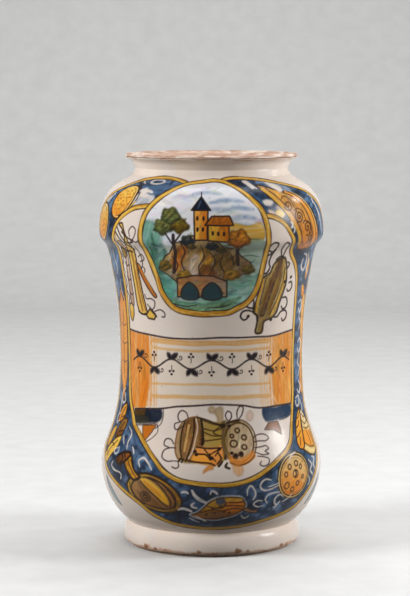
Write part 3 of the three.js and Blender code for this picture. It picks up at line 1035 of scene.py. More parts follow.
def right_shoulder(c, p):
    """A striped banner that falls across the right of the shoulder, with brown scrolls."""
    banner = [(28, 278.5), (33.5, 277), (40.5, 274.5), (49, 272.5), (56, 268.5), (61.5, 261.5),
              (66.5, 251.5), (69, 243), (69.5, 234.5), (66, 231), (58, 229.5), (51.5, 231), (50, 239),
              (46.5, 247.5), (42.5, 255), (38, 262.5), (32.5, 270.5)]
    filled(c, banner, blend(p.orange, p.brown, 0.08), blend(p.orange, p.straw, 0.45), p.umber, 1.7,
           lively=120, lean=75, streak=0.35, streak_angle=-62, streak_size=(16, 1.6))
    c.stroke([(30.5, 275.5), (36, 267.5), (41, 259.5), (45, 251.5), (49, 242.5), (50.5, 234.5)], 2.8,
             blend(p.ochre, p.straw, 0.25), 0.95)
    c.stroke([(46, 273), (52.5, 269), (58, 261.5), (62, 251), (64, 242), (64.5, 234.5)], 2.4,
             blend(p.orange, p.straw, 0.3))
    c.stroke([(50, 272.5), (56, 268.5), (61, 261), (65, 251), (67, 242)], 1.4, blend(p.straw, p.white, 0.3),
             0.8)
    strokes(c, p.umber, 1.0, [(33, 276), (38.5, 268.5), (43.5, 260.5), (47.5, 252), (51, 243), (53, 234)],
            [(43, 273), (50, 269), (55.5, 261.5), (59.5, 251), (61.5, 242), (62, 234.5)],
            [(48, 273), (54.5, 269), (60, 261), (64, 251), (66, 242), (66.5, 235)])
    ink = blend(p.umber, p.brown, 0.3)
    for azimuth, height, radius, turns, start in (
            (43.2, 263.5, 4.6, 1.5, 200), (50.2, 255, 5.0, 1.9, 120), (56.6, 246.4, 4.6, 1.7, 300),
            (60, 238.6, 3.4, 1.4, 100)):
        c.stroke(Motif(c, azimuth, height)(spiral(radius, turns, start)), 1.25, ink, 0.95, vary=0.15)
    strokes(c, ink, 1.0, [(40, 268), (42, 270), (46, 268), (47.5, 262)],
            [(46.5, 259.5), (50, 261), (54, 257.5), (55, 252)],
            [(52.5, 249.5), (55, 251.5), (59.5, 248.5), (61, 243)],
            [(57, 234.5), (60, 236), (62.5, 233.5), (64, 235)], [(55, 241), (57.5, 240), (58, 236.5)],
            taper=0.3)
    c.wash([(33.5, 259), (36.5, 261), (40, 257.5), (37.5, 254), (34, 255.5)], blend(p.straw, p.white, 0.25))
    c.wash([(29.5, 261), (32.5, 260.5), (34, 257.5), (31, 257)], blend(p.white, p.clay, 0.35))


def side_columns(c, p):
    """What hangs down both sides: ochre shafts, small trophies and brown bands."""
    shaft = blend(p.ochre, p.orange, 0.65)
    column = [(-63.5, 196), (-66, 190), (-69, 199), (-72, 190), (-75, 186), (-76.5, 165), (-76.5, 145),
              (-74.5, 130), (-71, 122), (-68, 114), (-66, 124), (-64.5, 131), (-64, 150), (-63.5, 170)]
    filled(c, column, shaft, blend(p.orange, p.straw, 0.35), p.brown, 1.4, lively=60, lean=0,
           streak_angle=92)
    strokes(c, p.brown, 1.0, [(-68.5, 182), (-69.5, 165), (-70, 148), (-69, 134)])
    for height in (172, 158, 144):
        c.stroke([(-65, height), (-69, height - 1.5), (-73, height)], 0.9, p.umber, 0.7)
    for places, paint in (
            ([(-62, 112), (-66, 110), (-70, 104), (-70, 97), (-66, 98), (-62, 103)], shaft),
            ([(-58, 100), (-62, 101), (-67, 94), (-68, 86), (-64, 84), (-60, 90)], p.brown),
            ([(-60, 88), (-65, 86), (-72, 78), (-75, 70), (-71, 66), (-66, 72), (-61, 79)],
             blend(p.straw, p.ochre, 0.5)),
            ([(-70, 94), (-74, 92), (-77, 84), (-75, 77), (-71, 82)], p.ochre)):
        filled(c, places, paint, blend(paint, p.straw, 0.35), p.umber, 1.4, lively=12, lean=50,
               streak_angle=60)
    strokes(c, p.umber, 1.0, [(-63, 109), (-66, 105), (-68, 99)], [(-61, 98), (-64, 93), (-66, 87)],
            [(-63, 84), (-68, 78), (-72, 71)], [(-62, 103), (-66, 101)], [(-60, 92), (-65, 90)],
            [(-65, 80), (-69, 82)], [(-70, 72), (-73, 76)])
    for places, paint in (
            ([(70, 222), (73, 220), (73.5, 210), (71, 205), (69, 212)], blend(p.orange, p.clay, 0.4)),
            ([(67, 202), (71, 200), (73, 196), (70, 192), (67, 196)], p.orange),
            ([(72, 194), (77, 192), (78.5, 150), (77, 118), (72, 120), (73, 150)],
             blend(p.ochre, p.orange, 0.5))):
        filled(c, places, paint, blend(paint, p.straw, 0.4), p.brown, 0.8, lively=10, streak_angle=85)
    for height in (176, 160, 143, 128):
        c.stroke([(73, height), (77, height + 2)], 0.9, p.brown, 0.8)


def book(c, p):
    """An open book at the right of the belly: orange cover, straw pages."""
    pages = [(66.5, 108), (71, 104), (75, 96.5), (77.5, 90), (76.5, 81), (73.5, 75), (69, 72), (64, 73.5),
             (59.5, 77), (57.5, 79), (62, 83), (63.5, 90), (65.5, 98.5)]
    filled(c, pages, blend(p.straw, p.orange, 0.15), blend(p.straw, p.white, 0.6), p.umber, 1.7, lively=25,
           lean=75, streak_angle=-60, smooth=False)
    c.wash([(63.5, 91), (69, 92), (75.5, 89), (75, 81), (71, 78.5), (64, 80.5), (61.5, 82.5)],
           blend(p.orange, p.straw, 0.35), smooth=False)
    c.wash([(58.5, 79.5), (62, 81), (67.5, 77.5), (73, 77), (72, 74), (68.5, 73), (64, 74.5)],
           blend(p.straw, p.white, 0.4), smooth=False)
    cover = [(65.5, 108.5), (61.5, 104), (58, 98), (55.5, 91), (54, 84), (55, 79.5), (58, 78), (60.5, 81),
             (62.5, 88), (64, 95), (66, 102.5)]
    filled(c, cover, blend(p.orange, p.straw, 0.3), blend(p.orange, p.straw, 0.6), p.umber, 1.4, lively=25,
           lean=80, streak_angle=75, smooth=False)
    strokes(c, blend(p.brown, p.umber, 0.4), 1.0, [(59.5, 101), (62, 101.5), (64.5, 104.5)],
            [(57.5, 94.5), (60, 95.5), (62.5, 99)], [(55.5, 87.5), (58, 89), (61, 91.5)],
            [(56.5, 81.5), (58.5, 87)], [(67.5, 103), (70, 100.5), (72, 101)],
            [(66.5, 98), (69.5, 95.5), (73.5, 97)], [(66, 93.5), (70, 92), (75.5, 92.5)],
            [(68.5, 90), (69.5, 85), (69, 80)], [(72.5, 89), (73, 84), (72.5, 79)],
            [(62, 82), (66.5, 79), (72.5, 78)])


def holed_disc(c, p):
    """A round buckler with small loops on its face, low at the right."""
    spot = Motif(c, 47.8, 60.6, 8)
    filled(c, spot(ellipse(36, 35.5)), blend(p.straw, p.white, 0.25), None, p.umber, 1.2)
    filled(c, spot(ellipse(32, 31.5)), blend(p.orange, p.straw, 0.12), blend(p.straw, p.clay, 0.5), p.umber,
           1.2, lively=50, lean=80)
    c.stroke(spot(ellipse(28, 27.5)), 0.6, p.brown, 0.7, closed=True, vary=0.5)
    for x, y, width, height in (
            (-4.7, 8, 3.4, 3.8), (3, 9, 3.9, 4.2), (7.4, 5.2, 2.9, 3.4), (-9.5, 3.5, 3.1, 3.6),
            (0.7, 1.5, 5.7, 5.6), (-9.2, -5.2, 4.7, 5.0), (2.4, -6.5, 3.4, 3.4), (-3.4, -10, 3.9, 3.6),
            (8.8, -3, 2.6, 2.6)):
        c.stroke(spot(ellipse(width, height, (x, y), count=8)), 1.1, p.umber, 0.95, closed=True)
    c.stroke(spot([(0.5, 4.3), (1.5, 1.5), (0, -1)]), 1.5, p.umber)


def lute(c, p):
    """A round-bodied lute, low at the left, with its neck and bent pegbox."""
    dark = blend(p.umber, (0.05, 0.04, 0.03), 0.4)
    body = np.array([(-46.5, 59), (-43, 62), (-39, 64), (-33.5, 64.5), (-27.5, 62.5), (-22, 58.5),
                     (-17.5, 52), (-15.5, 45), (-17, 39.5), (-21, 36), (-27, 35), (-33, 36), (-39, 38.5),
                     (-44.5, 42.5), (-48, 48), (-49, 54)])
    middle = np.array((-32, 49.5))
    filled(c, body, p.ochre, blend(p.ochre, p.brown, 0.6), dark, 1.8, lively=120, lean=-15, streak=0.4,
           streak_angle=-30)
    board = blend(p.brown, p.white, 0.3)
    filled(c, middle + (body - middle) * 0.8, board, blend(board, p.brown, 0.55), p.umber, 1.2, lively=70,
           lean=-60, streak=0.4, streak_angle=-40)
    yellow = [(-39, 60.5), (-35, 61), (-30, 57.5), (-25.5, 51.5), (-23, 45), (-23, 41.5), (-26, 43),
              (-29, 47), (-33.5, 52.5), (-37.5, 57)]
    c.wash(yellow, p.ochre, to=blend(p.straw, p.ochre, 0.5), lean=140)
    c.wash([(-37, 59.5), (-32, 55.5), (-27.5, 50), (-26.5, 47), (-31, 51), (-35.5, 56)],
           blend(p.orange, p.brown, 0.2), soft=0.7, strength=0.7, streak=0.4, streak_angle=-45)
    strokes(c, dark, 1.1, [(-34.5, 61.5), (-29, 58.5), (-24.5, 52), (-22, 44.5), (-22.5, 40.5)],
            [(-30.5, 61), (-25, 57), (-21, 50.5), (-19, 44), (-20, 39.5)],
            [(-38.5, 58), (-34.5, 52.5), (-30, 47), (-26.5, 42.5), (-24, 40)],
            [(-46.5, 56), (-46, 49), (-43, 43.5), (-38, 40)], [(-34, 39.5), (-30.5, 38), (-26.5, 38.5)])
    rose = Motif(c, -36.8, 46.4)
    for radius, width in ((4.6, 1.0), (3.0, 0.8), (1.4, 1.2)):
        c.stroke(rose(ellipse(2 * radius, 1.8 * radius)), width, p.umber, closed=True)
    for lean in (-1.2, 0.2, 1.6):
        c.stroke([(-40 + lean, 59), (-36.6 + lean, 50), (-31.6 + lean, 42), (-29.4 + lean, 38.6)], 0.55,
                 p.umber, 0.8)
    neck = [(-40, 60), (-43.5, 58.5), (-47, 62), (-50, 67), (-51.5, 72), (-48.5, 77), (-46, 75),
            (-44.5, 69), (-42, 64.5), (-39, 61.5)]
    filled(c, neck, blend(p.ochre, p.brown, 0.3), blend(p.ochre, p.orange, 0.3), dark, 2.0, lively=25,
           lean=0, streak_angle=-60)
    strokes(c, dark, 0.9, [(-41.5, 60), (-45, 65), (-48, 71), (-49, 75)],
            [(-40, 61), (-43.5, 66.5), (-46, 72.5)])
    head = [(-47, 77.5), (-52, 77.5), (-56.5, 75), (-59, 72), (-58.5, 68.5), (-55.5, 67.5), (-52.5, 69.5),
            (-49.5, 72.5)]
    filled(c, head, blend(p.brown, p.orange, 0.3), blend(p.umber, p.brown, 0.5), dark, 2.0, lean=180)
    strokes(c, dark, 1.3, [(-55, 76), (-53, 72.5), (-55, 69)], [(-52, 77), (-51, 74)],
            [(-54, 68), (-53.5, 65.5)])


def helmet(c, p):
    """A crested helmet lying on the blue, low at the front."""
    body = [(-7.5, 37.5), (-4, 42), (-1.5, 46), (2.5, 49), (7, 50), (12, 50), (15.5, 49), (18, 44.5),
            (18.5, 40.5), (16.5, 37), (13, 34), (8, 32), (2, 30.5), (-4, 31), (-9.5, 32.5), (-12, 35)]
    filled(c, body, blend(p.brown, p.orange, 0.25), blend(p.ochre, p.straw, 0.25),
           blend(p.pale_blue, p.white, 0.45), 1.4, lively=60, lean=95, streak_angle=8)
    c.wash([(8, 45), (17, 44.5), (17.5, 40), (12, 36.5), (4, 38), (5, 41)], blend(p.orange, p.brown, 0.1),
           to=p.orange, lean=20, soft=0.9, streak=0.4, streak_angle=10)
    c.wash([(-9, 35), (0, 37.5), (8, 36.5), (6, 33), (0, 32), (-7, 32.5)], blend(p.brown, p.clay, 0.35),
           soft=0.8, streak=0.4)
    c.wash([(2.5, 48.5), (6.5, 48.5), (7, 45), (5, 43), (2.5, 44.5)], blend(p.pale_blue, p.outline, 0.55))
    c.stroke([(6.5, 46), (7.5, 44.5), (7, 43)], 1.6, blend(p.outline, p.clay_stain, 0.4))
    strokes(c, blend(p.brown, p.umber, 0.6), 1.1,
            [(-11, 34.5), (-7, 37), (-3.5, 41.5), (-0.5, 45.5), (3, 48), (7, 49), (15, 48)],
            [(16, 48), (17.5, 44.5), (17.5, 40.5), (15.5, 37), (12, 34.5), (6, 32.5), (-2, 31.5), (-9, 33)],
            [(-6, 37), (0, 39), (6, 38), (12, 40), (17.5, 39)], [(4, 41.5), (10, 42.5), (16.5, 41.5)],
            [(9, 45), (13, 44.5), (16.5, 45)], [(-2, 42), (2, 40.5), (6, 41)])
    dots(c, blend(p.brown, p.umber, 0.4), 1.9, (6.5, 37.5), (1.5, 36.5), (0.5, 39.5), (-3, 35), (9.5, 36.5))
    filled(c, [(17, 38), (21, 36), (25.5, 35.5), (26, 37), (22, 38), (19, 40)],
           blend(p.brown, p.clay, 0.45), None, p.umber, 0.9)
    c.stroke([(-12.5, 32), (-10, 30), (-7.5, 28.5)], 1.5, blend(p.pale_blue, p.white, 0.6), taper=0.4)


def field_ground(c, p):
    """The white field in the middle of the front."""
    c.wash(FIELD, p.white, pool=0, relief=0.1)


def ribbon_ends(c, p):
    """The folded ends of the label's ribbon, below its two corners."""
    c.wash([(-53, 109.5), (-40, 111.5), (-37, 103), (-50.5, 99.5)], blend(p.olive, p.umber, 0.6),
           smooth=False)
    c.wash([(-42, 111), (-31.5, 112), (-30, 106), (-33, 102), (-42, 102)], p.navy, strength=0.98,
           streak=0.1)
    c.wash([(-52, 104), (-40, 105), (-38, 101.5), (-50, 99.5)], blend(p.navy, p.olive, 0.3), soft=0.8,
           strength=0.85)
    filled(c, [(-43.5, 98.5), (-33.5, 100), (-36, 94), (-40.5, 86)], blend(p.orange, p.brown, 0.3), None,
           p.outline, 0.6, smooth=False)
    strokes(c, p.outline, 0.9, [(-51, 97.5), (-43, 99), (-34, 101)],
            [(-33, 101), (-32, 95), (-35, 90), (-40, 86)],
            [(-30, 113), (-29.5, 107), (-30.5, 101), (-34, 97)], [(43.5, 102.5), (49, 103), (54, 105)],
            strength=0.7)
    c.wash([(31.5, 112), (42, 112), (55, 112.5), (54, 105), (42, 103), (33, 103)],
           blend(p.cobalt, p.navy, 0.45))
    filled(c, [(31.5, 96.5), (35, 101.5), (42, 102), (43, 97), (43, 92), (38, 96)],
           blend(p.clay_stain, p.brown, 0.2), None, p.outline, 0.6, smooth=False)


def label(c, p):
    """The label: orange ends, ochre bands, and a dark vine along the middle."""
    top = [(-61, 169), (-53, 168), (-41, 166.5), (-30, 165.5), (-19.5, 165), (0, 166), (19, 166),
           (39.5, 166), (61, 168.5)]
    bottom = [(-52, 109.5), (-42, 111), (-29, 112.5), (-19, 114.5), (0, 116.5), (8, 116.5), (19.5, 115),
              (28, 113), (40, 113), (57, 113)]
    c.wash([*top, (61, 140), *bottom[::-1], (-58, 118), (-61, 140)], blend(p.white, p.straw, 0.06), pool=0,
           smooth=False)
    deep = blend(p.orange, p.brown, 0.06)
    for places, paint in (
            ([(-61.5, 168.5), (-50, 167), (-41, 166.5), (-40.5, 140), (-43, 111.5), (-54, 110), (-59, 118),
              (-61.5, 140)], deep),
            ([(41, 165.5), (50, 167), (61, 168), (61, 140), (59, 118), (57, 113.5), (41, 113.5), (40, 140)],
             blend(deep, p.straw, 0.15))):
        c.wash(places, paint, smooth=False, soft=0.8, streak=0.4, streak_angle=90, streak_size=(30, 1.8),
               pool=0.05)
        c.keep_inside(places)
        touches(c, places, 90, 14, 1.2, 90, 0.45)
        c.keep_inside()
    for azimuth, width, strength in (
            (-39.5, 2.2, 0.75), (-37, 1.4, 0.6), (-35.2, 1, 0.45), (-42, 2, 0.6), (38.3, 1.8, 0.7),
            (36, 1.3, 0.5), (34, 1, 0.45), (32.2, 0.9, 0.4), (30.8, 0.9, 0.35), (40.5, 2, 0.6)):
        c.stroke([(azimuth, 165.5), (azimuth - 0.3, 145), (azimuth + 0.2, 113.5)], width, deep, strength,
                 soft=0.9, vary=0.6)
    for height, width in ((162.3, 3.4), (160.6, 1.4), (156.3, 2.0), (131, 1.7), (121.6, 3.0)):
        dip = 1 if height > 140 else -0.6
        c.stroke([(-38, height + dip), (-20, height), (0, height + 0.2), (20, height), (37, height + dip)],
                 width, blend(blend(p.ochre, p.orange, 0.45), p.clay, 0.4), 0.7, soft=0.8, wobble=0.35)
    c.stroke([(-36, 163.5), (0, 163), (36, 163.5)], 0.7, blend(p.orange, p.brown, 0.25), 0.5, vary=0.6)
    strokes(c, p.outline, 1.35, top, bottom, strength=0.95, wobble=0.25, vary=0.15)
    vine(c, p)


def vine(c, p):
    """A running vine with leaves, tendrils and berries."""
    ink = blend(p.outline, (0.08, 0.06, 0.07), 0.6)
    crests, reach, middle, swing = 9, 56.0, 146.0, 3.4
    azimuths = np.linspace(-reach, reach, 8 * crests)
    waves = np.sin((azimuths + reach) / (2 * reach) * crests * math.pi)
    c.stroke(np.stack([azimuths, middle + swing * waves], 1), 1.35, ink, 0.95, wobble=0.12)
    leaf = np.array([(0, 0), (-1.9, 2.2), (-1.7, 4.6), (0.4, 7.0), (1.9, 4.8), (1.8, 2.0)])
    for i in range(crests):
        azimuth = -reach + (i + 0.5) * 2 * reach / crests
        side = 1 if i % 2 == 0 else -1
        spot = Motif(c, azimuth, middle + side * swing)
        for lean, grow in ((-42, 1.0), (38, 0.9)):
            c.wash(spot(leaned(leaf, lean) * grow * (1, side)), ink, soft=0.35, pool=0, wobble=0.1)
        berry = Motif(c, azimuth, middle - side * (swing + 2.2))
        for x, y in ((-1.5, 0), (1.5, 0.2), (0, -side * 2.2)):
            c.stroke(berry([(x - 0.1, y), (x + 0.1, y)]), 1.8, ink, 0.95, wobble=0, vary=0.1)
        c.stroke(berry([(0, side * 4.4), (0.3, side * 2.4), (0, side * 0.6)]), 0.6, ink)
        tendril = Motif(c, azimuth + 5.6, middle + side * (swing + 1.6))
        c.stroke(tendril(spiral(2.3, 1.15, 200 * side, count=14)), 0.7, ink, taper=0.4)


def left_trophy(c, p):
    """A long horn, a flute and a staff tied with ribbons, left of the medallion."""
    ribbon = blend(p.outline, p.clay, 0.08)
    dark = blend(p.umber, (0.05, 0.04, 0.04), 0.35)
    staff = [(-56, 236), (-55, 226), (-56, 205), (-55.5, 188), (-53.5, 187), (-53, 205), (-52.5, 226),
             (-53, 236)]
    filled(c, staff, blend(p.clay, p.brown, 0.35), blend(p.clay, p.white, 0.4), ribbon, 0.9, lean=20)
    for height in (220, 209, 198):
        c.stroke([(-56.4, height), (-54.4, height - 2.6), (-52.6, height - 1)], 1.0, ribbon)
    horn = [(-53.5, 249), (-51, 246), (-49, 239.5), (-51, 231.5), (-51, 220), (-50.5, 204), (-50, 190.5),
            (-48, 183), (-45, 181.5), (-42, 182), (-42.5, 188.5), (-44, 198), (-45, 210), (-45.5, 222),
            (-46, 231.5), (-47.5, 239.5), (-49.5, 245.5), (-51, 250)]
    filled(c, horn, blend(p.ochre, p.straw, 0.35), None, dark, 1.3, lively=70, streak=0.35, streak_angle=86,
           streak_size=(22, 1), pool=0.1)
    c.stroke([(-48.5, 230), (-48, 214), (-47.5, 198), (-45.5, 184.5)], 1.7, blend(p.ochre, p.brown, 0.6),
             0.95)
    c.stroke([(-46.5, 222), (-46, 206), (-45, 194), (-43, 184.5)], 0.9, blend(p.brown, p.orange, 0.3))
    c.stroke([(-50, 224), (-49.5, 208), (-49, 194), (-47.5, 185.5)], 1.2, p.straw)
    strokes(c, dark, 1.4, [(-49, 183.5), (-46, 181.5), (-41, 182.5)],
            [(-55.5, 247), (-52, 240.5), (-47.5, 235.5), (-43.5, 236.5)],
            [(-56.5, 243), (-53, 238), (-48.5, 233.5), (-45, 230.5)],
            [(-51, 243.5), (-46.5, 239.5), (-43, 237.5)],
            [(-57.5, 250), (-59, 243), (-57, 235), (-54.5, 229)],
            [(-56.5, 234), (-53.5, 230.5), (-50.5, 228.5)], [(-54, 226.5), (-51.5, 229), (-47.5, 228.5)])
    c.stroke([(-56.5, 250.5), (-57.5, 244), (-55.5, 236.5), (-52, 231)], 1.6, blend(p.ochre, p.brown, 0.2))
    filled(c, [(-56.5, 231), (-54, 229.5), (-53.5, 225.5), (-55.5, 223.5), (-57, 226.5)],
           blend(p.olive, p.straw, 0.35), None, dark, 1.0)
    flute = [(-45.5, 220), (-44, 219.5), (-40, 209.5), (-36, 201), (-33.5, 196), (-34.5, 195), (-38.5, 200),
             (-42.5, 208.5)]
    filled(c, flute, blend(p.orange, p.brown, 0.3), None, dark, 1.0)
    c.stroke([(-44, 218), (-40, 209), (-36.5, 201)], 0.8, blend(p.orange, p.straw, 0.5), 0.8)
    filled(c, [(-42.5, 181.5), (-39.5, 186), (-35, 181), (-36.5, 178.5), (-41, 179)],
           blend(p.straw, p.ochre, 0.35), None, dark, 1.3, smooth=False)
    strokes(c, ribbon, 1.05,
            [(-45, 240.5), (-45.5, 245), (-43, 248), (-41, 245.5), (-42, 240), (-44.5, 237)],
            [(-43.5, 237.5), (-41, 236.5), (-38.5, 238.5)],
            [(-44, 233), (-41.5, 226), (-41.5, 219), (-43, 216)],
            [(-43.5, 225), (-41, 227), (-39.5, 223.5), (-42.5, 221.5)],
            [(-41.5, 218), (-40, 216), (-40.5, 213.5)],
            [(-60.5, 232), (-58.5, 227), (-57.5, 222), (-59, 217), (-58, 212)],
            [(-59, 211), (-58, 204), (-59.5, 199), (-57.5, 194), (-58.5, 188)],
            [(-42.5, 197), (-41.5, 194), (-38, 194), (-35.5, 192), (-36, 187.5), (-37.5, 185.5)],
            [(-41, 189.5), (-38, 186), (-35.5, 182.5), (-34.5, 180.5)],
            [(-35.5, 184.5), (-31.5, 186), (-29, 184), (-29, 181), (-31, 181)], taper=0.2)
    filled(c, [(-58, 187), (-56.5, 189), (-54, 187), (-54, 180), (-56, 175.5), (-58, 179)],
           blend(p.straw, p.white, 0.1), p.ochre, ribbon, lean=-90)


def right_trophy(c, p):
    """A quiver with its cords and loops, right of the medallion."""
    dark = blend(p.umber, (0.05, 0.04, 0.03), 0.3)
    body = [(39.5, 223.5), (36.5, 220), (34.5, 213.5), (31, 211), (29, 203.5), (27, 192.5), (25.5, 184.5),
            (28.5, 181.5), (28, 175), (27.5, 169), (31.5, 169), (33, 177), (38.5, 179.5), (42, 183),
            (44, 190), (47, 199.5), (48, 206), (47, 213), (46, 219.5), (44, 224)]
    filled(c, body, blend(p.olive, p.brown, 0.15), blend(p.olive, p.ochre, 0.4), dark, 1.6, lively=160,
           lean=10, streak=0.45, streak_angle=73, streak_size=(20, 1.3))
    for line, paint, width in (
            ([(41, 222), (38.5, 212), (35.5, 201), (33, 190), (31.5, 183)],
             blend(p.brown, p.umber, 0.8), 6.2),
            ([(42.5, 218), (41.5, 207), (39.5, 196), (37, 187)], blend(p.brown, p.olive, 0.45), 2.6),
            ([(37, 215), (34.5, 205), (32, 195), (30.5, 186)], blend(p.olive, p.ochre, 0.3), 1.4),
            ([(39.5, 219), (37, 208), (34.5, 198), (32.5, 188)], blend(p.brown, p.ochre, 0.3), 1.1),
            ([(30.5, 209), (29.5, 201), (28, 192), (27.5, 185)], blend(p.ochre, p.straw, 0.2), 2.0),
            ([(46, 214), (45.5, 206), (44, 198), (41, 188), (38.5, 182)],
             blend(p.ochre, p.straw, 0.4), 2.4),
            ([(45, 217), (45, 207), (42.5, 196), (39.5, 187), (37, 182)], dark, 1.0),
            ([(32.5, 211), (31, 200), (29.5, 190)], dark, 0.9),
            ([(43.5, 214), (42.5, 204), (40, 193)], dark, 0.8)):
        c.stroke(line, width, paint, taper=0.25, vary=0.5)
    touches(c, body, 60, 6, 0.9, 73, 0.8)
    strokes(c, blend(p.umber, p.outline, 0.5) * 0.75, 1.45,
            [(33.5, 229.5), (31.5, 231), (31.5, 234.5), (33.5, 236.5), (36, 235.5), (36, 232),
             (34.5, 229.5)], [(34, 229.5), (33, 227.5), (30.5, 226.5), (30, 226)],
            [(36, 231), (34, 226.5), (33, 221), (34, 218)],
            [(34, 217.5), (32.5, 214), (30.5, 213), (28, 213.5)],
            [(41, 226), (40, 231), (41, 236), (43.5, 235), (43, 230), (42, 225)],
            [(38, 223.5), (40.5, 225.5), (44, 224.5)], [(47, 221), (48.5, 219.5), (47.5, 216.5)],
            [(21, 195), (24.5, 194.5), (25.5, 191.5), (25, 187)], [(19.5, 190), (22.5, 188), (25, 187.5)],
            [(25.5, 184.5), (22, 186), (18.5, 185), (17.5, 181.5), (19.5, 179), (21.5, 180)],
            [(25.5, 184), (27.5, 182), (28, 178)],
            [(49.5, 200), (50.5, 198.5), (53, 199.5), (54, 202.5), (52.5, 205.5), (50.5, 205)],
            [(46.5, 194), (49.5, 194), (51, 190.5), (50, 186.5), (47, 185.5), (46, 187.5)],
            [(39.5, 180), (43, 180), (46, 183.5), (50, 184), (51.5, 181.5), (50.5, 178), (48, 176.5),
             (47, 178.5)], strength=0.97, taper=0.15, vary=0.1)
    dots(c, dark, 2.3, (27.5, 214), (46.5, 206), (51.5, 209), (22, 181.5), (38, 178))


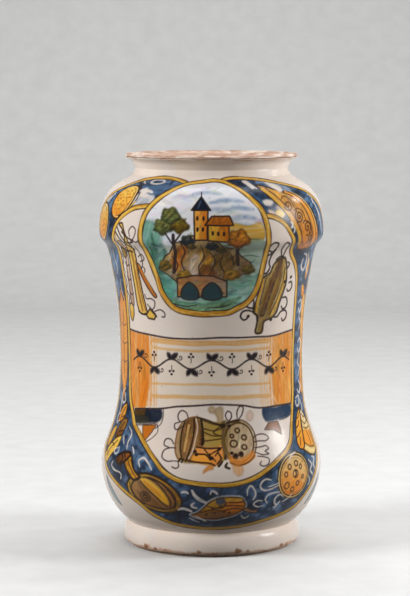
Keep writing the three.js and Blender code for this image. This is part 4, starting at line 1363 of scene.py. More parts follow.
def drum_and_shield(c, p):
    """A drum on its side, a round shield with rings, cords and tassels below the label."""
    faded = blend(p.olive, p.clay, 0.5)
    dark = blend(p.umber, (0.05, 0.04, 0.03), 0.3)
    c.wash([(-2, 114.5), (1, 115.5), (2.5, 112.5), (1, 109.5), (-1.5, 110.5)], blend(p.clay, p.olive, 0.3),
           soft=0.8, strength=0.8)
    c.wash([(1, 111), (4, 115), (6.5, 114.5), (6, 101), (3.5, 101), (3, 107)], blend(faded, p.white, 0.3),
           soft=0.9)
    c.stroke([(2.5, 111), (4, 106), (4.5, 101)], 0.7, faded, 0.7)
    c.wash([(20.5, 108), (23.5, 112), (25.5, 108.5), (23.5, 103.5), (21, 104)],
           blend(p.white, p.clay, 0.85), soft=1.0, strength=0.7)
    shell = [(-9, 107.5), (-14.5, 105.5), (-18.5, 100), (-20, 91), (-19.5, 82), (-17, 76), (-13.5, 74),
             (-6, 74.5), (1, 73), (6, 76), (9, 84), (9, 94), (7, 102), (-1, 104.5)]
    c.wash(shell, blend(p.clay, p.olive, 0.35), to=blend(p.olive, p.straw, 0.4), lean=0)
    head = [(-17.5, 98), (-15, 104), (-8.5, 107), (-5.5, 98), (-5.5, 84), (-9, 76), (-14, 75.5), (-17, 82)]
    c.wash(head, blend(blend(p.brown, p.umber, 0.25), p.clay, 0.12), soft=0.7, streak=0.45, streak_angle=86,
           streak_size=(18, 1.5))
    touches(c, head, 40, 8, 1.0, 86, 0.8)
    touches(c, shell, 50, 4, 0.9, 0, 0.5)
    for places, paint, width in (
            ([(-13, 101), (-14, 92), (-14.5, 83)], blend(p.clay, p.ochre, 0.45), 1.8),
            ([(-9, 106), (-8, 100), (-9, 90), (-10.5, 82), (-12, 78)], blend(p.white, p.clay, 0.5), 1.1),
            ([(-6, 105.5), (-5, 98), (-5, 88), (-7, 80)], dark, 1.7),
            ([(-15.5, 104), (-17, 96), (-17, 86), (-15.5, 77)], dark, 1.0),
            ([(-10, 106), (-10, 98), (-11, 87), (-13, 77)], dark, 1.2),
            ([(-9, 107.5), (-14.5, 105.5), (-18.5, 100), (-20, 91), (-19.5, 82), (-17, 76)],
             blend(p.brown, p.clay, 0.2), 1.0)):
        c.stroke(places, width, paint)
    c.wash([(-8, 86), (2, 86), (6.5, 88.5), (6.5, 80), (2, 72.5), (-1.5, 74), (-1, 80.5), (-8, 81)],
           blend(blend(p.orange, p.clay, 0.25), p.brown, 0.06), to=blend(p.orange, p.clay, 0.4))
    c.wash([(-9.5, 80.5), (-1, 80), (0, 74), (-10.5, 76.5)], blend(p.orange, p.straw, 0.35))
    c.wash([(5.5, 103.5), (10.5, 105), (11, 96), (10.5, 84), (7.5, 76.5), (6, 84), (6, 94)],
           blend(p.umber, p.olive, 0.5), soft=0.7, streak=0.5, streak_angle=88, streak_size=(18, 1.5))
    strokes(c, blend(p.olive, p.umber, 0.75), 1.1, [(-5, 105), (1, 102.5), (6.5, 101)],
            [(-4.5, 99), (1, 97.5), (5.5, 99)], [(-4.5, 96.5), (1, 94), (6, 94)],
            [(-5, 90), (0, 91), (6, 92)], [(5, 100.5), (1, 96), (6, 93.5)], [(-4, 85), (-1, 80), (2, 76)],
            [(-2, 80), (2, 83), (6, 86)], [(2, 80), (4, 84)])
    strokes(c, dark, 1.3, [(-8.5, 107), (-3, 105.5), (3, 102.5), (9.5, 101)],
            [(-12, 76), (-6, 75), (-1, 74.5), (1.5, 73)], [(-7, 81), (-3, 80.5), (-1, 77.5)],
            [(-1, 81), (-0.5, 77)], [(3.5, 82), (5, 78), (3, 74)], [(-8, 86), (-2, 85), (4, 85.5)],
            [(7.5, 102), (8.5, 93), (8, 84), (7, 77.5)])
    dots(c, dark, 2.4, (-5, 88.5), (-5, 91), (6, 93.5), (6, 100.5), (-9, 82.5), (-8, 80.5), (4, 84.5),
         (0, 78), (9.5, 102))
    dots(c, dark, 1.4, (-16.5, 77), (-15, 76.5), (-17, 75.5), (-15.5, 75), (-13.5, 76))
    shield = Motif(c, 15.4, 89)
    pale = blend(blend(p.olive, p.clay, 0.62), p.white, 0.28)
    filled(c, shield(ellipse(26.5, 33.5)), pale, blend(p.olive, p.clay, 0.6), blend(p.umber, p.clay, 0.3),
           1.0, lively=80, lean=150, streak=0.35, streak_angle=80)
    c.stroke(shield(ellipse(23, 30, start=80, sweep=200)), 2.2, blend(p.olive, p.umber, 0.35), 0.85,
             taper=0.4, vary=0.4)
    c.stroke(shield(ellipse(22, 29, start=-80, sweep=240)), 1.2, blend(p.umber, p.olive, 0.3), taper=0.25)
    c.wash([(9, 80.5), (13, 77.5), (18, 79), (22, 82.5), (23.5, 79), (19, 74), (13.5, 72), (9.5, 74.5)],
           blend(p.orange, p.clay, 0.15), soft=0.7, streak=0.4, streak_angle=20)
    c.stroke([(9.5, 75), (13.5, 72.5), (19, 74.5), (23, 79)], 1.0, p.brown)
    c.stroke([(8.5, 103), (12, 104), (16, 104.5)], 1.8, dark, taper=0.5)
    for azimuth, height, size in (
            (14.6, 97.4, 3.4), (18.2, 92.2, 3.8), (12, 88.2, 5.2), (17.8, 85.4, 3.8), (15.6, 80.6, 3.2),
            (12.6, 79.4, 3.4), (11.4, 93.6, 2.8)):
        c.stroke(Motif(c, azimuth, height)(ellipse(size, size, count=8)), 1.3, blend(p.umber, p.olive, 0.1),
                 0.95, closed=True, vary=0.2)
    dots(c, dark, 2.3, (12.5, 79.5), (15.5, 80.5), (10.5, 81.5), (10, 100.5))
    strokes(c, blend(p.outline, p.clay, 0.1), 1.05,
            [(-14.5, 105), (-18.5, 103.5), (-20, 107.5), (-18, 111.5), (-15, 110.5), (-13.5, 106.5)],
            [(-18.5, 103), (-21.5, 101.5), (-21, 98), (-19, 98), (-17, 100.5)],
            [(-21, 87.5), (-23, 90.5), (-26, 90.5), (-26.5, 86.5), (-23.5, 85)],
            [(-19.5, 84.5), (-22.5, 84.5), (-26, 82.5), (-26.5, 77.5), (-23.5, 75), (-20, 75.5),
             (-17.5, 75.5)], [(-17.5, 75), (-17, 71.5), (-18.5, 70), (-20.5, 71)],
            [(9, 105), (8, 108.5), (9.5, 111.5), (11.5, 110), (11.5, 106.5), (10, 104.5)],
            [(15, 106), (15, 111), (17, 115), (19, 114), (18, 108.5), (16, 105.5)],
            [(23.5, 91.5), (26.5, 93.5), (31, 93.5), (33.5, 91), (31.5, 89), (27, 89), (24, 88.5)],
            [(24, 84.5), (28, 85), (30.5, 85.5), (32, 83.5), (29.5, 81.5), (31.5, 79.5), (28, 79),
             (24, 81)],
            [(24.5, 78.5), (28.5, 77.5), (31, 76), (30.5, 72.5), (27.5, 71), (25.5, 72.5), (26.5, 74.5)],
            taper=0.25)
    strokes(c, dark, 1.9, [(8, 74.5), (7, 72), (9, 70.5)], [(5.5, 76), (4.5, 74), (3.5, 72.5)], taper=0.3)
    c.wash([(-1.5, 73), (0.5, 73.5), (1, 70.5), (-1.5, 69.5), (-4.5, 67), (-4, 69.5)],
           blend(p.orange, p.clay, 0.35), soft=0.7)
    c.wash([(11, 73.5), (15.5, 73), (16, 67), (14, 64.5), (11.5, 66.5)], blend(p.orange, p.clay, 0.3),
           soft=0.9, strength=0.75, streak=0.5, streak_angle=90)


def landscape(c, p):
    """A plain country view in the medallion: tower, trees, hills and water, in loose touches."""
    c.keep_inside(MEDALLION)
    m = Motif(c, -4, 232)
    green = blend(p.copper, p.white, 0.2)
    ink = blend(p.umber, p.outline, 0.6) * 0.8
    c.wash(MEDALLION, blend(p.white, (0.9, 0.94, 1.0), 0.6), soft=0.4, pool=0)
    for x, y, reach, strength in (
            (0, 44, 22, 0.7), (16, 37, 26, 0.85), (24, 31, 26, 0.75), (27, 24, 24, 0.85),
            (-14, 41, 20, 0.35), (-30, 14, 14, 0.45), (10, 30, 20, 0.55), (26, 18, 26, 0.8)):
        c.stroke(m([(x - reach / 2, y - 1), (x, y + 1.4), (x + reach / 2, y)]), 3.6,
                 blend(p.pale_blue, p.cobalt, 0.2), strength, soft=2.4, taper=0.7, vary=0.6)
    touches(c, MEDALLION, 260, 9, 2.2, 4, 0.22)
    c.wash(m([(6, 17), (20, 21.5), (33, 19), (44, 21), (46, 9), (6, 10)]), blend(p.ochre, p.straw, 0.25),
           to=blend(p.ochre, p.olive, 0.2), lean=-90, soft=0.9, streak=0.4, streak_angle=2,
           streak_size=(16, 1.3))
    c.stroke(m([(8, 9), (20, 8.2), (30, 9.4), (42, 8.4)]), 1.1, blend(p.olive, p.umber, 0.4), 0.8)
    c.wash(m([(2, 8), (24, 8), (46, 8), (44, -14), (40, -28), (14, -26), (2, -10)]),
           blend(green, p.clay, 0.35), soft=1.0, streak=0.4, streak_angle=2, streak_size=(16, 2))
    for y, x0, x1 in ((4, 12, 34), (0, 14, 30), (-6, 26, 42), (-11, 28, 41)):
        c.stroke(m([(x0, y), ((x0 + x1) / 2, y + 0.9), (x1, y - 0.3)]), 0.9,
                 blend(p.copper, p.outline, 0.5), 0.7, taper=0.6)
    c.wash(m([(-47, 22), (-35, 20), (-30, 2), (-28, -14), (-22, -30), (-28, -46), (-42, -30), (-48, 0)]),
           blend(p.copper, (0, 0.25, 0.15), 0.25), to=green, lean=25, soft=1.6, streak=0.4, streak_angle=75,
           streak_size=(14, 2.2))
    for places in ([(-40, 12), (-38, 2), (-37, -8)], [(-37, -10), (-34, -18), (-31, -28)],
                   [(-42, 2), (-39, -14)], [(-30, 0), (-29, -10)]):
        c.stroke(m(places), 3.4, blend(p.copper, (0.02, 0.16, 0.08), 0.65), 0.75, soft=2.0, taper=0.6,
                 vary=0.5)
    c.wash(m([(-34, -26), (-14, -22), (6, -24), (26, -22), (42, -20), (30, -42), (8, -52), (-14, -52),
              (-30, -42)]), p.copper, to=green, lean=20, soft=1.4, streak=0.5, streak_angle=4,
           streak_size=(16, 2.4))
    touches(c, m([(-44, 10), (-28, 0), (0, -20), (40, -8), (34, -36), (8, -50), (-26, -44)]), 260, 6, 1.8,
            15)
    rock = blend(p.clay_stain, p.olive, 0.3)
    hill = m([(-35, -16), (-30, -6), (-26, -3), (-22, 6), (-15, 8), (-9, 12), (4, 10), (11, 7), (15, 3),
              (23, 1), (28, -6), (35, -11), (36, -18), (22, -21), (14, -25), (-8, -24), (-20, -26),
              (-28, -20)])
    filled(c, hill, blend(rock, p.umber, 0.2), blend(rock, p.straw, 0.4), ink, 0.9, lean=110, smooth=False,
           soft=0.8, streak=0.4, streak_angle=55)
    for places, paint in (
            ([(-26, -12), (-20, 2), (-12, 6), (-14, -8), (-20, -18)], blend(p.orange, p.brown, 0.4)),
            ([(8, -4), (18, -2), (24, -10), (16, -18), (8, -14)], blend(p.olive, p.brown, 0.4)),
            ([(-8, -4), (2, 2), (6, -8), (0, -16), (-8, -14)], blend(p.ochre, p.brown, 0.3)),
            ([(-10, -6), (-4, -2), (-2, -12), (-6, -22), (-11, -20)], blend(p.white, p.clay, 0.4)),
            ([(-2, -12), (6, -14), (10, -24), (-4, -24)], p.brown)):
        c.wash(m(places), paint, soft=1.0, streak=0.45, streak_angle=60)
    touches(c, hill, 220, 5, 1.5, 60, 0.9)
    clefts = ([(-18, 8), (-14, -2), (-17, -10), (-14, -18)], [(-2, 4), (0, -6), (-4, -14), (-2, -22)],
              [(14, -4), (12, -12), (16, -20)], [(-24, -6), (-20, -12), (-22, -18)],
              [(4, -2), (8, -8), (6, -16)], [(20, -4), (22, -12)])
    strokes(c, ink, 1.0, *map(m, clefts), taper=0.4)
    tower(c, p, m, ink)
    woods(c, p, m, ink)
    bridge(c, p, m, ink)
    c.keep_inside()


def tower(c, p, m, ink):
    """A square tower with a low hall beside it, on the hill."""
    filled(c, m([(-6.4, 8.6), (-7, 30.5), (3, 30.5), (3, 8.6)]), blend(p.straw, p.orange, 0.45),
           blend(p.orange, p.brown, 0.2), ink, lively=40, lean=0, smooth=False, streak_angle=90)
    filled(c, m([(-9, 30.5), (-2, 41.5), (5, 30.5)]), p.navy, None, ink, smooth=False)
    c.stroke(m([(-4.5, 32), (-2.5, 37.5)]), 1.4, blend(p.navy, p.pale_blue, 0.5), 0.8, taper=0.4)
    c.stroke(m([(-2, 41), (-2, 46)]), 0.8, ink)
    filled(c, m([(3.4, 8.4), (3.4, 19.4), (18.6, 19.4), (18.6, 6.8)]), blend(p.ochre, p.straw, 0.3),
           blend(p.orange, p.brown, 0.3), ink, lively=40, lean=0, smooth=False, streak_angle=90)
    filled(c, m([(1, 19.5), (6, 26), (19, 26), (22, 19.5)]), blend(p.orange, p.brown, 0.5), None, ink,
           lively=25, smooth=False, streak_angle=60)
    for x, y in ((-4.5, 24.5), (0, 24.5), (-4.4, 16.5), (-0.2, 16.5), (7, 13.6), (11, 13.4), (15, 13.2)):
        c.stroke(m([(x, y - 0.8), (x, y + 0.8)]), 1.7, ink, vary=0.1)


def woods(c, p, m, ink):
    """Trees and shrubs round the hill, each a dark clump with lighter touches."""
    strokes(c, ink, 2.6, m([(-23, -18), (-21.6, -4), (-22.6, 12)]), m([(25, -12), (24.6, -4), (26, 4)]))
    strokes(c, ink, 1.3, m([(-22.6, 4), (-28, 12), (-31, 15)]), m([(-22.4, 6), (-17, 13)]))
    leaf = blend(p.olive, p.copper, 0.35)
    for x, y, width, height, paint in (
            (-31, 18, 15, 12, leaf), (-18, 19, 14, 11, p.olive), (-25, 26, 15, 13, leaf),
            (26, 9, 16, 15, blend(p.orange, p.brown, 0.25)), (-12, 8, 10, 8, p.navy),
            (6, 3.4, 9, 7, p.navy), (-9, 3, 7, 5, p.olive), (13, 0, 8, 6, p.olive),
            (-30, -13, 10, 8, p.olive), (-15, -20, 11, 7, blend(p.ochre, p.olive, 0.4)),
            (20, -20, 13, 8, blend(p.ochre, p.brown, 0.35)), (33, -16, 10, 7, p.olive)):
        rim = ellipse(width, height, count=14) * (1 + 0.14 * np.cos(np.arange(14) * 2.4))[:, None] + (x, y)
        c.wash(m(rim), blend(paint, (0.05, 0.06, 0.05), 0.45), soft=0.8)
        c.wash(m(rim * 0.8 + (0.2 * x - 0.4, 0.2 * y + 0.6)), paint, to=blend(paint, p.straw, 0.3),
               soft=0.9, streak=0.4)
        touches(c, m(rim), int(0.32 * width * height), 2.4, 1.2, 30, 1.2)


def bridge(c, p, m, ink):
    """A stone bridge of two arches over the water, and the near bank."""
    stone = m([(-20.5, -22.5), (-8, -20), (6, -20.5), (16.5, -24.5), (16.5, -36.5), (-20.5, -36.5)])
    filled(c, stone, blend(p.orange, p.brown, 0.35), blend(p.clay_stain, p.clay, 0.4), ink, lively=60,
           lean=60, smooth=False, streak=0.4, streak_size=(5, 1.6))
    for x, width in ((-11, 12), (5.5, 13)):
        arch = m([(x - width / 2, -37.5), (x - width / 2, -31), (x, -25.4), (x + width / 2, -31),
                  (x + width / 2, -37.5)])
        filled(c, arch, blend(p.navy, p.copper, 0.3), None, ink, lively=12)
    bank = m([(-30, -38), (-18, -40), (0, -41), (18, -39), (28, -36), (20, -44), (4, -51), (-14, -50),
              (-26, -44)])
    c.wash(bank, blend(p.copper, p.straw, 0.35), to=blend(p.copper, p.olive, 0.2), lean=100, soft=1.0,
           streak=0.45, streak_size=(9, 1.8))
    touches(c, bank, 70, 5, 1.3, 5, 0.9)
    strokes(c, ink, 0.9, m([(-24, -42), (-14, -43.5), (-6, -42.5)]),
            m([(2, -44.5), (12, -44), (20, -41.5)]), taper=0.6)


def back_scrolls(c, p):
    """Thin grey-blue scrolls with leaves on the white back, and a leaf at each edge of the belly."""
    ink = blend(p.cobalt, p.white, 0.38)
    faint = blend(p.pale_blue, p.white, 0.45)
    leaf = 0.7 * np.array([(0, 0), (2.4, 3.4), (2.0, 7.4), (-0.4, 10.4), (-2.0, 7.0), (-1.8, 3.0)])
    for side in (-1, 1):
        for azimuth, top in ((101, 272), (136.5, 262), (167.5, 258)):
            heights = np.linspace(38, top, 10)
            line = [(side * (azimuth + (4.5 if i % 2 else -4.5)), height)
                    for i, height in enumerate(heights)]
            c.stroke(line, 1.0, ink, 0.8, vary=0.5)
            for i, (around, height) in enumerate(line[1:-1]):
                way = side * (1 if i % 2 == 0 else -1)
                spot = Motif(c, around, height)
                c.stroke(spot(spiral(7.5, 1.4, 90 - 90 * way, (-7 * way, 2.5), count=24)), 1.0, ink, 0.75,
                         taper=0.35, vary=0.45)
                for tilt in (-60, -110):
                    filled(c, spot(leaned(leaf, tilt * way) + (1.5 * way, -4)), faint, ink, ink, 0.6,
                           lean=60)
                c.stroke(spot([(0, 0), (-4 * way, -5), (-9 * way, -4)]), 0.7, ink, 0.7, taper=0.6)
                dots(c, ink, 1.3, *spot([(-11 * way, -2), (-12 * way, -6), (3 * way, 9)]))
        further = 0 if side > 0 else -5
        stem = [(92, 66), (84, 65), (79, 60), (72, 46)]
        tip = [(76, 56), (72.5, 50), (69.5, 44), (66, 34.5), (70.5, 37), (74.5, 43), (77, 50)]
        c.stroke([(side * (around + further), height) for around, height in stem], 1.1, ink, 0.85,
                 vary=0.4)
        filled(c, [(side * (around + further), height) for around, height in tip],
               blend(faint, p.copper, 0.3), ink, blend(ink, p.outline, 0.4), 1.0, lean=60)


def edges(c, p):
    """The ochre lines that frame the border, the field and the medallion, with painted highlight on their
    lit stretches.
    """
    mustard = blend(p.ochre, p.olive, 0.3)
    dark = blend(p.umber, p.outline, 0.5) * 0.9
    for places, width, closed in ((OUTER_EDGE, 2.8, False), (FIELD, 2.8, False), (MEDALLION, 3.4, True)):
        c.stroke(places, width + 1.7, dark, 0.95, closed=closed, wobble=0.3)
        c.stroke(places, width, p.ochre, 0.98, closed=closed, wobble=0.3, vary=0.15)
        c.stroke(places, width * 0.5, blend(p.ochre, p.brown, 0.35), 0.6, closed=closed, wobble=1.1,
                 vary=0.9)
        c.stroke(places, width * 0.45, blend(p.straw, p.white, 0.1), 0.95, closed=closed, wobble=0.9,
                 vary=0.6)
    # Painted highlight: paler yellow only on the stretches that the lamps light most, the medallion's upper
    # left and the field's two sides.
    for places in ([place for place in MEDALLION if place[0] < 4 and place[1] > 205],
                   [place for place in FIELD if place[0] < -40 and place[1] > 95],
                   [place for place in FIELD if place[0] > 56 and place[1] > 105]):
        c.stroke(places, 2.2, blend(p.straw, p.ochre, 0.25), 0.8, wobble=0.4, vary=0.5, taper=0.3)
    low = [place for place in OUTER_EDGE if place[1] < 60]
    c.stroke(low, 3.6, mustard, 0.95, wobble=0.3, taper=0.2)
    c.stroke(low, 1.4, blend(p.straw, mustard, 0.35), wobble=0.6, vary=0.7)
    foot_of_field = [place for place in FIELD if place[1] < 100]
    c.stroke(foot_of_field, 1.5, blend(mustard, p.brown, 0.25), 0.55, wobble=0.6, vary=0.8)
    bottom = sorted(place for place in MEDALLION if place[1] < 215)
    c.stroke(bottom, 1.4, blend(p.orange, p.brown, 0.35), 0.6, wobble=0.5, vary=0.7)


def worn_edges(c, p):
    """Glaze worn off to the clay along the foot's edge and under the lip, with a few chips. The brown stain
    under the lip is partly painted shade.
    """
    top = c.height[-1]
    # Each band: lowest height, highest height, worn edge, which way it wears, and how much brown it takes;
    # that brown is stain at the foot, and partly stain, partly painted shade under the lip.
    for low, high, edge, way, stain in ((0.0, 11.0, 4.4, 1, 0.6), (top - 4, top, top - 0.2, -1, 0.2)):
        rows, columns = slice(*np.searchsorted(c.height, (low, high))), slice(0, len(c.azimuth))
        across, up = c.grid(rows, columns)
        long_waves = 4.4 * (c.noise(across / 9, up / 7, 3) - 0.5)
        short_waves = 1.4 * (c.noise(across / 1.7, up / 1.7, 5) - 0.5)
        ragged = long_waves + short_waves
        bare = np.clip(0.5 + way * (edge - c.height[rows][:, None]) + ragged, 0, 1)
        c.lay(rows, columns, bare, blend(p.clay, p.white, 0.15))
        # Brown blotches on the bare clay; under the lip they are partly painted shade.
        stained = np.clip(c.noise(across / 5, up / 3, 8) * 2 - 0.9, 0, 1)
        c.lay(rows, columns, stain * bare * stained, p.clay_stain)
    for azimuth, height, width, rise in (
            (-47, 3.4, 5, 3.2), (-39, 3, 3, 2), (-8, 3.2, 3.4, 2.2), (17, 3.6, 5.6, 3.8), (24, 3, 3, 1.8),
            (52, 3.4, 4, 2.6), (96, 3.4, 5, 3), (150, 3.4, 6, 3.6), (-120, 3.2, 4, 2.8)):
        rim = ellipse(width, rise, count=9) * (1 + 0.25 * np.cos(np.arange(9) * 2.1))[:, None]
        c.wash(Motif(c, azimuth, height + 1)(rim), blend(p.clay_stain, p.brown, 0.12), soft=0.3, relief=0)


def paint_jar(canvas):
    """The whole painting, from the grounds up."""
    colours = pigments()
    names = Pigments.__annotations__
    paints = SimpleNamespace(**{name: np.array(getattr(colours, name)) for name in names})
    for part in (back_scrolls, blue_ground, side_columns, left_shoulder, right_shoulder, book, holed_disc,
                 lute, helmet, white_curls, field_ground, ribbon_ends, label, left_trophy, right_trophy,
                 drum_and_shield, landscape, edges, worn_edges):
        part(canvas, paints)


# Operators

class ALBARELLO_OT_clay_walls(bpy.types.Operator):
    """Finishes the thrown walls under the glaze, and the slip that lutes them"""

    bl_idname = "albarello.clay_walls"
    bl_label = "Clay walls and lutes"

    def execute(self, context):
        colours = pigments()
        wall = bare_clay("clay_body", colours.clay, colours.clay_stain, bloom=(0.87, 0.78, 0.71),
                         stained=0.5, scale=1.0)
        slip = bare_clay("slip", (0.74, 0.6, 0.49), colours.clay_stain, bloom=(0.8, 0.69, 0.6), stained=0.3,
                         scale=1.6)
        for name, finish in (("lower_section", wall), ("upper_section", wall),
                             ("foot_lute", slip), ("waist_lute", slip), ("neck_lute", slip)):
            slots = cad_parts[name].data.materials
            slots.clear()
            slots.append(finish)
        return {"FINISHED"}


def closed_section(node_name, spacing):
    """A node's outer outline upwards and its inner one downwards, smoothed, as one section."""
    outer, inner = (rounded(outline(node_name, side), spacing) for side in (1, -1))
    return np.concatenate([outer, inner[::-1]])


class ALBARELLO_OT_foot(bpy.types.Operator):
    """Turns the foot's coil, whose lower edge is bare"""

    bl_idname = "albarello.foot"
    bl_label = "Foot"

    def execute(self, context):
        colours = pigments()
        finish = bare_clay("bare_foot", colours.clay, colours.clay_stain, bloom=(0.9, 0.82, 0.75),
                           stained=0.9, scale=1.4)
        piece = turn("foot_coil", closed_section("foot_ring", spacing=0.8), finish, sides=480)
        strips(piece)
        seat(piece, "clay", "foot_ring")
        return {"FINISHED"}


class ALBARELLO_OT_lip(bpy.types.Operator):
    """Turns the neck's collar with its bare, worn lip"""

    bl_idname = "albarello.lip"
    bl_label = "Neck and lip"

    def execute(self, context):
        colours = pigments()
        finish = bare_clay("bare_lip", (0.73, 0.58, 0.49), colours.clay_stain, bloom=(0.92, 0.86, 0.81),
                           stained=1.0, scale=1.1)
        piece = turn("neck_and_lip", closed_section("neck_collar", spacing=0.6), finish, sides=640)
        strips(piece)
        seat(piece, "clay", "neck_collar")
        return {"FINISHED"}


class ALBARELLO_OT_lining(bpy.types.Operator):
    """Turns the glaze that lines the inside"""

    bl_idname = "albarello.lining"
    bl_label = "Lining"

    def execute(self, context):
        wall = rounded(outline("inner_glaze", -1), spacing=2.0)
        back = rounded(outline("inner_glaze", 1), spacing=4.0)
        floor = [(0.0, wall[0][1])]
        under = [(0.0, back[0][1])]
        section = np.concatenate([under, back, wall[::-1], floor])
        piece = turn("inner_lining", section, lining_glaze(), sides=360)
        strips(piece)
        seat(piece, "lining_glaze", "inner_glaze")
        return {"FINISHED"}


class ALBARELLO_OT_painted_glaze(bpy.types.Operator):
    """Turns the outer glaze in rings and paints it"""

    bl_idname = "albarello.painted_glaze"
    bl_label = "Painted glaze"

    def execute(self, context):
        size = sizes()
        line = evenly(rounded(outline("outer_glaze", 1), spacing=0.3), size.row_height / MM)
        even = np.arange(size.sides) / size.sides * 2 * math.pi - math.pi
        azimuths = np.degrees(even - size.front_fineness * np.sin(even))
        canvas = Canvas(line, azimuths, pigments().white)
        paint_jar(canvas)
        finish = painted_glaze()
        edges = np.linspace(0, len(line) - 1, size.rings + 1).round().astype(int)
        for i, (low, high) in enumerate(zip(edges[:-1], edges[1:])):
            outer = line[low:high + 1]
            inner = thinned(inset(line, size.coat / MM)[low:high + 1], tolerance=0.15)
            section = np.concatenate([inner[:1], outer, inner[:0:-1]])
            piece = turn(f"painted_glaze_{i + 1}", section, finish)
            carry_painting(piece, canvas, low, len(outer))
            strips(piece)
            seat(piece, "painted_tin_glaze", "outer_glaze")
        return {"FINISHED"}


def carry_painting(piece, canvas, first_row, row_count):
    """Copies the canvas to the vertices of a ring, with its body of paint in the alpha.

    The section starts with a point of the ring's back, so its first row is no row of the canvas.
    """
    mesh = piece.data
    count = len(mesh.vertices)
    rows = np.empty(count, np.float32)
    mesh.attributes["row"].data.foreach_get("value", rows)
    spots = np.empty(count * 3)
    mesh.vertices.foreach_get("co", spots)
    spots = spots.reshape(-1, 3)
    azimuths = np.degrees(np.arctan2(spots[:, 0], -spots[:, 1]))
    middles = (canvas.azimuth[1:] + canvas.azimuth[:-1]) / 2
    columns = np.searchsorted(middles, azimuths)
    rows = np.round(rows).astype(int) - 1
    shown = (rows >= 0) & (rows < row_count)
    colours = np.empty((count, 4))
    colours[:, :3] = canvas.colour[0, 0]
    colours[:, 3] = 0
    taken = first_row + rows[shown], columns[shown]
    colours[shown, :3] = canvas.colour[taken]
    colours[shown, 3] = canvas.body[taken]
    colours[:, :3] = np.stack(linear(colours[:, :3].T)[:3], 0).T
    layer = mesh.color_attributes.new("painting", "FLOAT_COLOR", "POINT")
    layer.data.foreach_set("color", colours.astype(np.float32).ravel())
    mesh.attributes.remove(mesh.attributes["row"])


class ALBARELLO_OT_studio(bpy.types.Operator):
    """Sets the jar on a pale sweep, with soft lamps and the camera"""

    bl_idname = "albarello.studio"
    bl_label = "Studio"

    def execute(self, context):
        sweep()
        lamps()
        camera()
        return {"FINISHED"}


def background_rays(tree):
    """A mask of the rays that see the background: the camera's, and those mirrored or let through."""
    path = node(tree, "ShaderNodeLightPath")
    camera_or_mirror = maths(tree, "MAXIMUM", path.outputs["Is Camera Ray"], path.outputs["Is Glossy Ray"])
    return maths(tree, "MAXIMUM", camera_or_mirror, path.outputs["Is Transmission Ray"])


def sweep():
    """A pale paper sweep: floor, round bend and backdrop."""
    front, depth, rise, bend, width = -4.0, 2.5, 2.8, 0.8, 6.0
    pale, paler, behind = (0.68, 0.68, 0.67, 1), (0.73, 0.73, 0.72, 1), (0.08, 0.08, 0.08, 1)
    arc = [(depth - bend + bend * math.sin(a), bend - bend * math.cos(a))
           for a in np.radians(np.linspace(0, 90, 25))]
    line = [(front, 0.0), *arc, (depth, rise)]
    mesh = bpy.data.meshes.new("paper_sweep")
    verts = [(x, y, z) for y, z in line for x in (-width, width)]
    faces = [(2 * i, 2 * i + 1, 2 * i + 3, 2 * i + 2) for i in range(len(line) - 1)]
    mesh.from_pydata(verts, [], faces)
    mesh.shade_smooth()
    paper, tree, shader = material("paper")
    where = node(tree, "ShaderNodeTexCoord").outputs["Object"]
    fibre = noise(tree, 40, where, detail=4.0)
    tone = mixed(tree, spread(tree, fibre, 0.3, 0.7), pale, paler)
    link(tree, mixed(tree, background_rays(tree), behind, tone), shader.inputs["Base Color"])
    shader.inputs["Roughness"].default_value = 0.9
    mesh.materials.append(paper)
    piece = bpy.data.objects.new("paper_sweep", mesh)
    bpy.context.scene.collection.objects.link(piece)


def lamp(name, size, power, place, target, mirrored=True):
    """A soft square lamp that looks at a place. The glaze mirrors it or not."""
    light = bpy.data.lights.new(name, "AREA")
    light.size = size
    light.energy = power
    made = bpy.data.objects.new(name, light)
    made.location = place
    made.visible_glossy = mirrored
    way = np.asarray(target, float) - np.asarray(place, float)
    pitch = math.atan2(math.hypot(way[0], way[1]), -way[2])
    made.rotation_euler = (pitch, 0, math.atan2(-way[0], way[1]))
    bpy.context.scene.collection.objects.link(made)
    return made


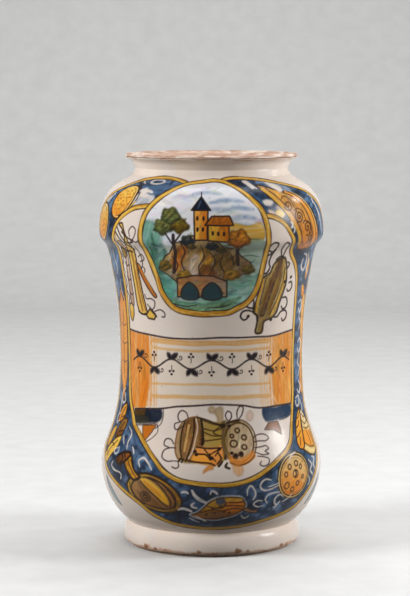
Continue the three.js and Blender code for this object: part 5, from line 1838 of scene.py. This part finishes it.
def lamps():
    """A broad key lamp at the left, two smaller ones at the right, a soft one above, and a grey world."""
    middle = (0, 0, 0.16)
    lamp("key_lamp", size=0.7, power=26, place=(-1.45, -0.6, 0.9), target=middle, mirrored=False)
    lamp("side_lamp", size=0.4, power=13, place=(1.2, -0.16, 0.58), target=middle)
    lamp("glint_lamp", size=0.16, power=2.2, place=(1.05, 0.5, 0.88), target=(0, 0, 0.25))
    lamp("top_lamp", size=1.6, power=30, place=(0.1, 0.9, 2.2), target=(0, 1.5, 0))
    world = bpy.data.worlds.new("studio")
    world.use_nodes = True
    sky = world.node_tree.nodes["Background"]
    sky.inputs["Color"].default_value = (1, 1, 1, 1)
    fill, behind = 0.2, 0.42
    seen = maths(world.node_tree, "MULTIPLY", background_rays(world.node_tree), behind - fill)
    link(world.node_tree, maths(world.node_tree, "ADD", seen, fill), sky.inputs["Strength"])
    bpy.context.scene.world = world


def camera():
    """A long lens, a little above the jar's lip, looking slightly down."""
    sensor_mm, lens_mm, looking_down = 36, 134.84, 0.1
    made = bpy.data.objects.new("camera", bpy.data.cameras.new("camera"))
    made.data.sensor_width = sensor_mm
    made.data.lens = lens_mm
    made.location = (-0.004834, -1.70714, 0.35992)
    made.rotation_euler = (math.pi / 2 - looking_down, 0, 0)
    bpy.context.scene.collection.objects.link(made)
    bpy.context.scene.camera = made


class ALBARELLO_PT_panel(bpy.types.Panel):
    """Lists the jar's pieces in the sidebar"""

    bl_label = "Albarello"
    bl_idname = "ALBARELLO_PT_panel"
    bl_space_type = "VIEW_3D"
    bl_region_type = "UI"
    bl_category = "Albarello"

    def draw(self, context):
        for step in STEPS:
            self.layout.operator(step.bl_idname)
        for group in (sizes(), pigments()):
            for name in group.__annotations__:
                self.layout.prop(group, name)


STEPS = (ALBARELLO_OT_clay_walls, ALBARELLO_OT_foot, ALBARELLO_OT_lip, ALBARELLO_OT_lining,
         ALBARELLO_OT_painted_glaze, ALBARELLO_OT_studio)
CLASSES = (Sizes, Pigments, *STEPS, ALBARELLO_PT_panel)


def register():
    """Makes the classes and the scene's two groups known."""
    for kind in CLASSES:
        bpy.utils.register_class(kind)
    bpy.types.Scene.albarello_sizes = bpy.props.PointerProperty(type=Sizes)
    bpy.types.Scene.albarello_pigments = bpy.props.PointerProperty(type=Pigments)


def unregister():
    """Takes them away again."""
    del bpy.types.Scene.albarello_sizes
    del bpy.types.Scene.albarello_pigments
    for kind in reversed(CLASSES):
        bpy.utils.unregister_class(kind)


def main():
    """Builds the jar and its stage."""
    register()
    for step in STEPS:
        group, name = step.bl_idname.split(".")
        getattr(getattr(bpy.ops, group), name)()
    bpy.context.scene.view_settings.view_transform = "Standard"


if __name__ == "__main__":
    main()
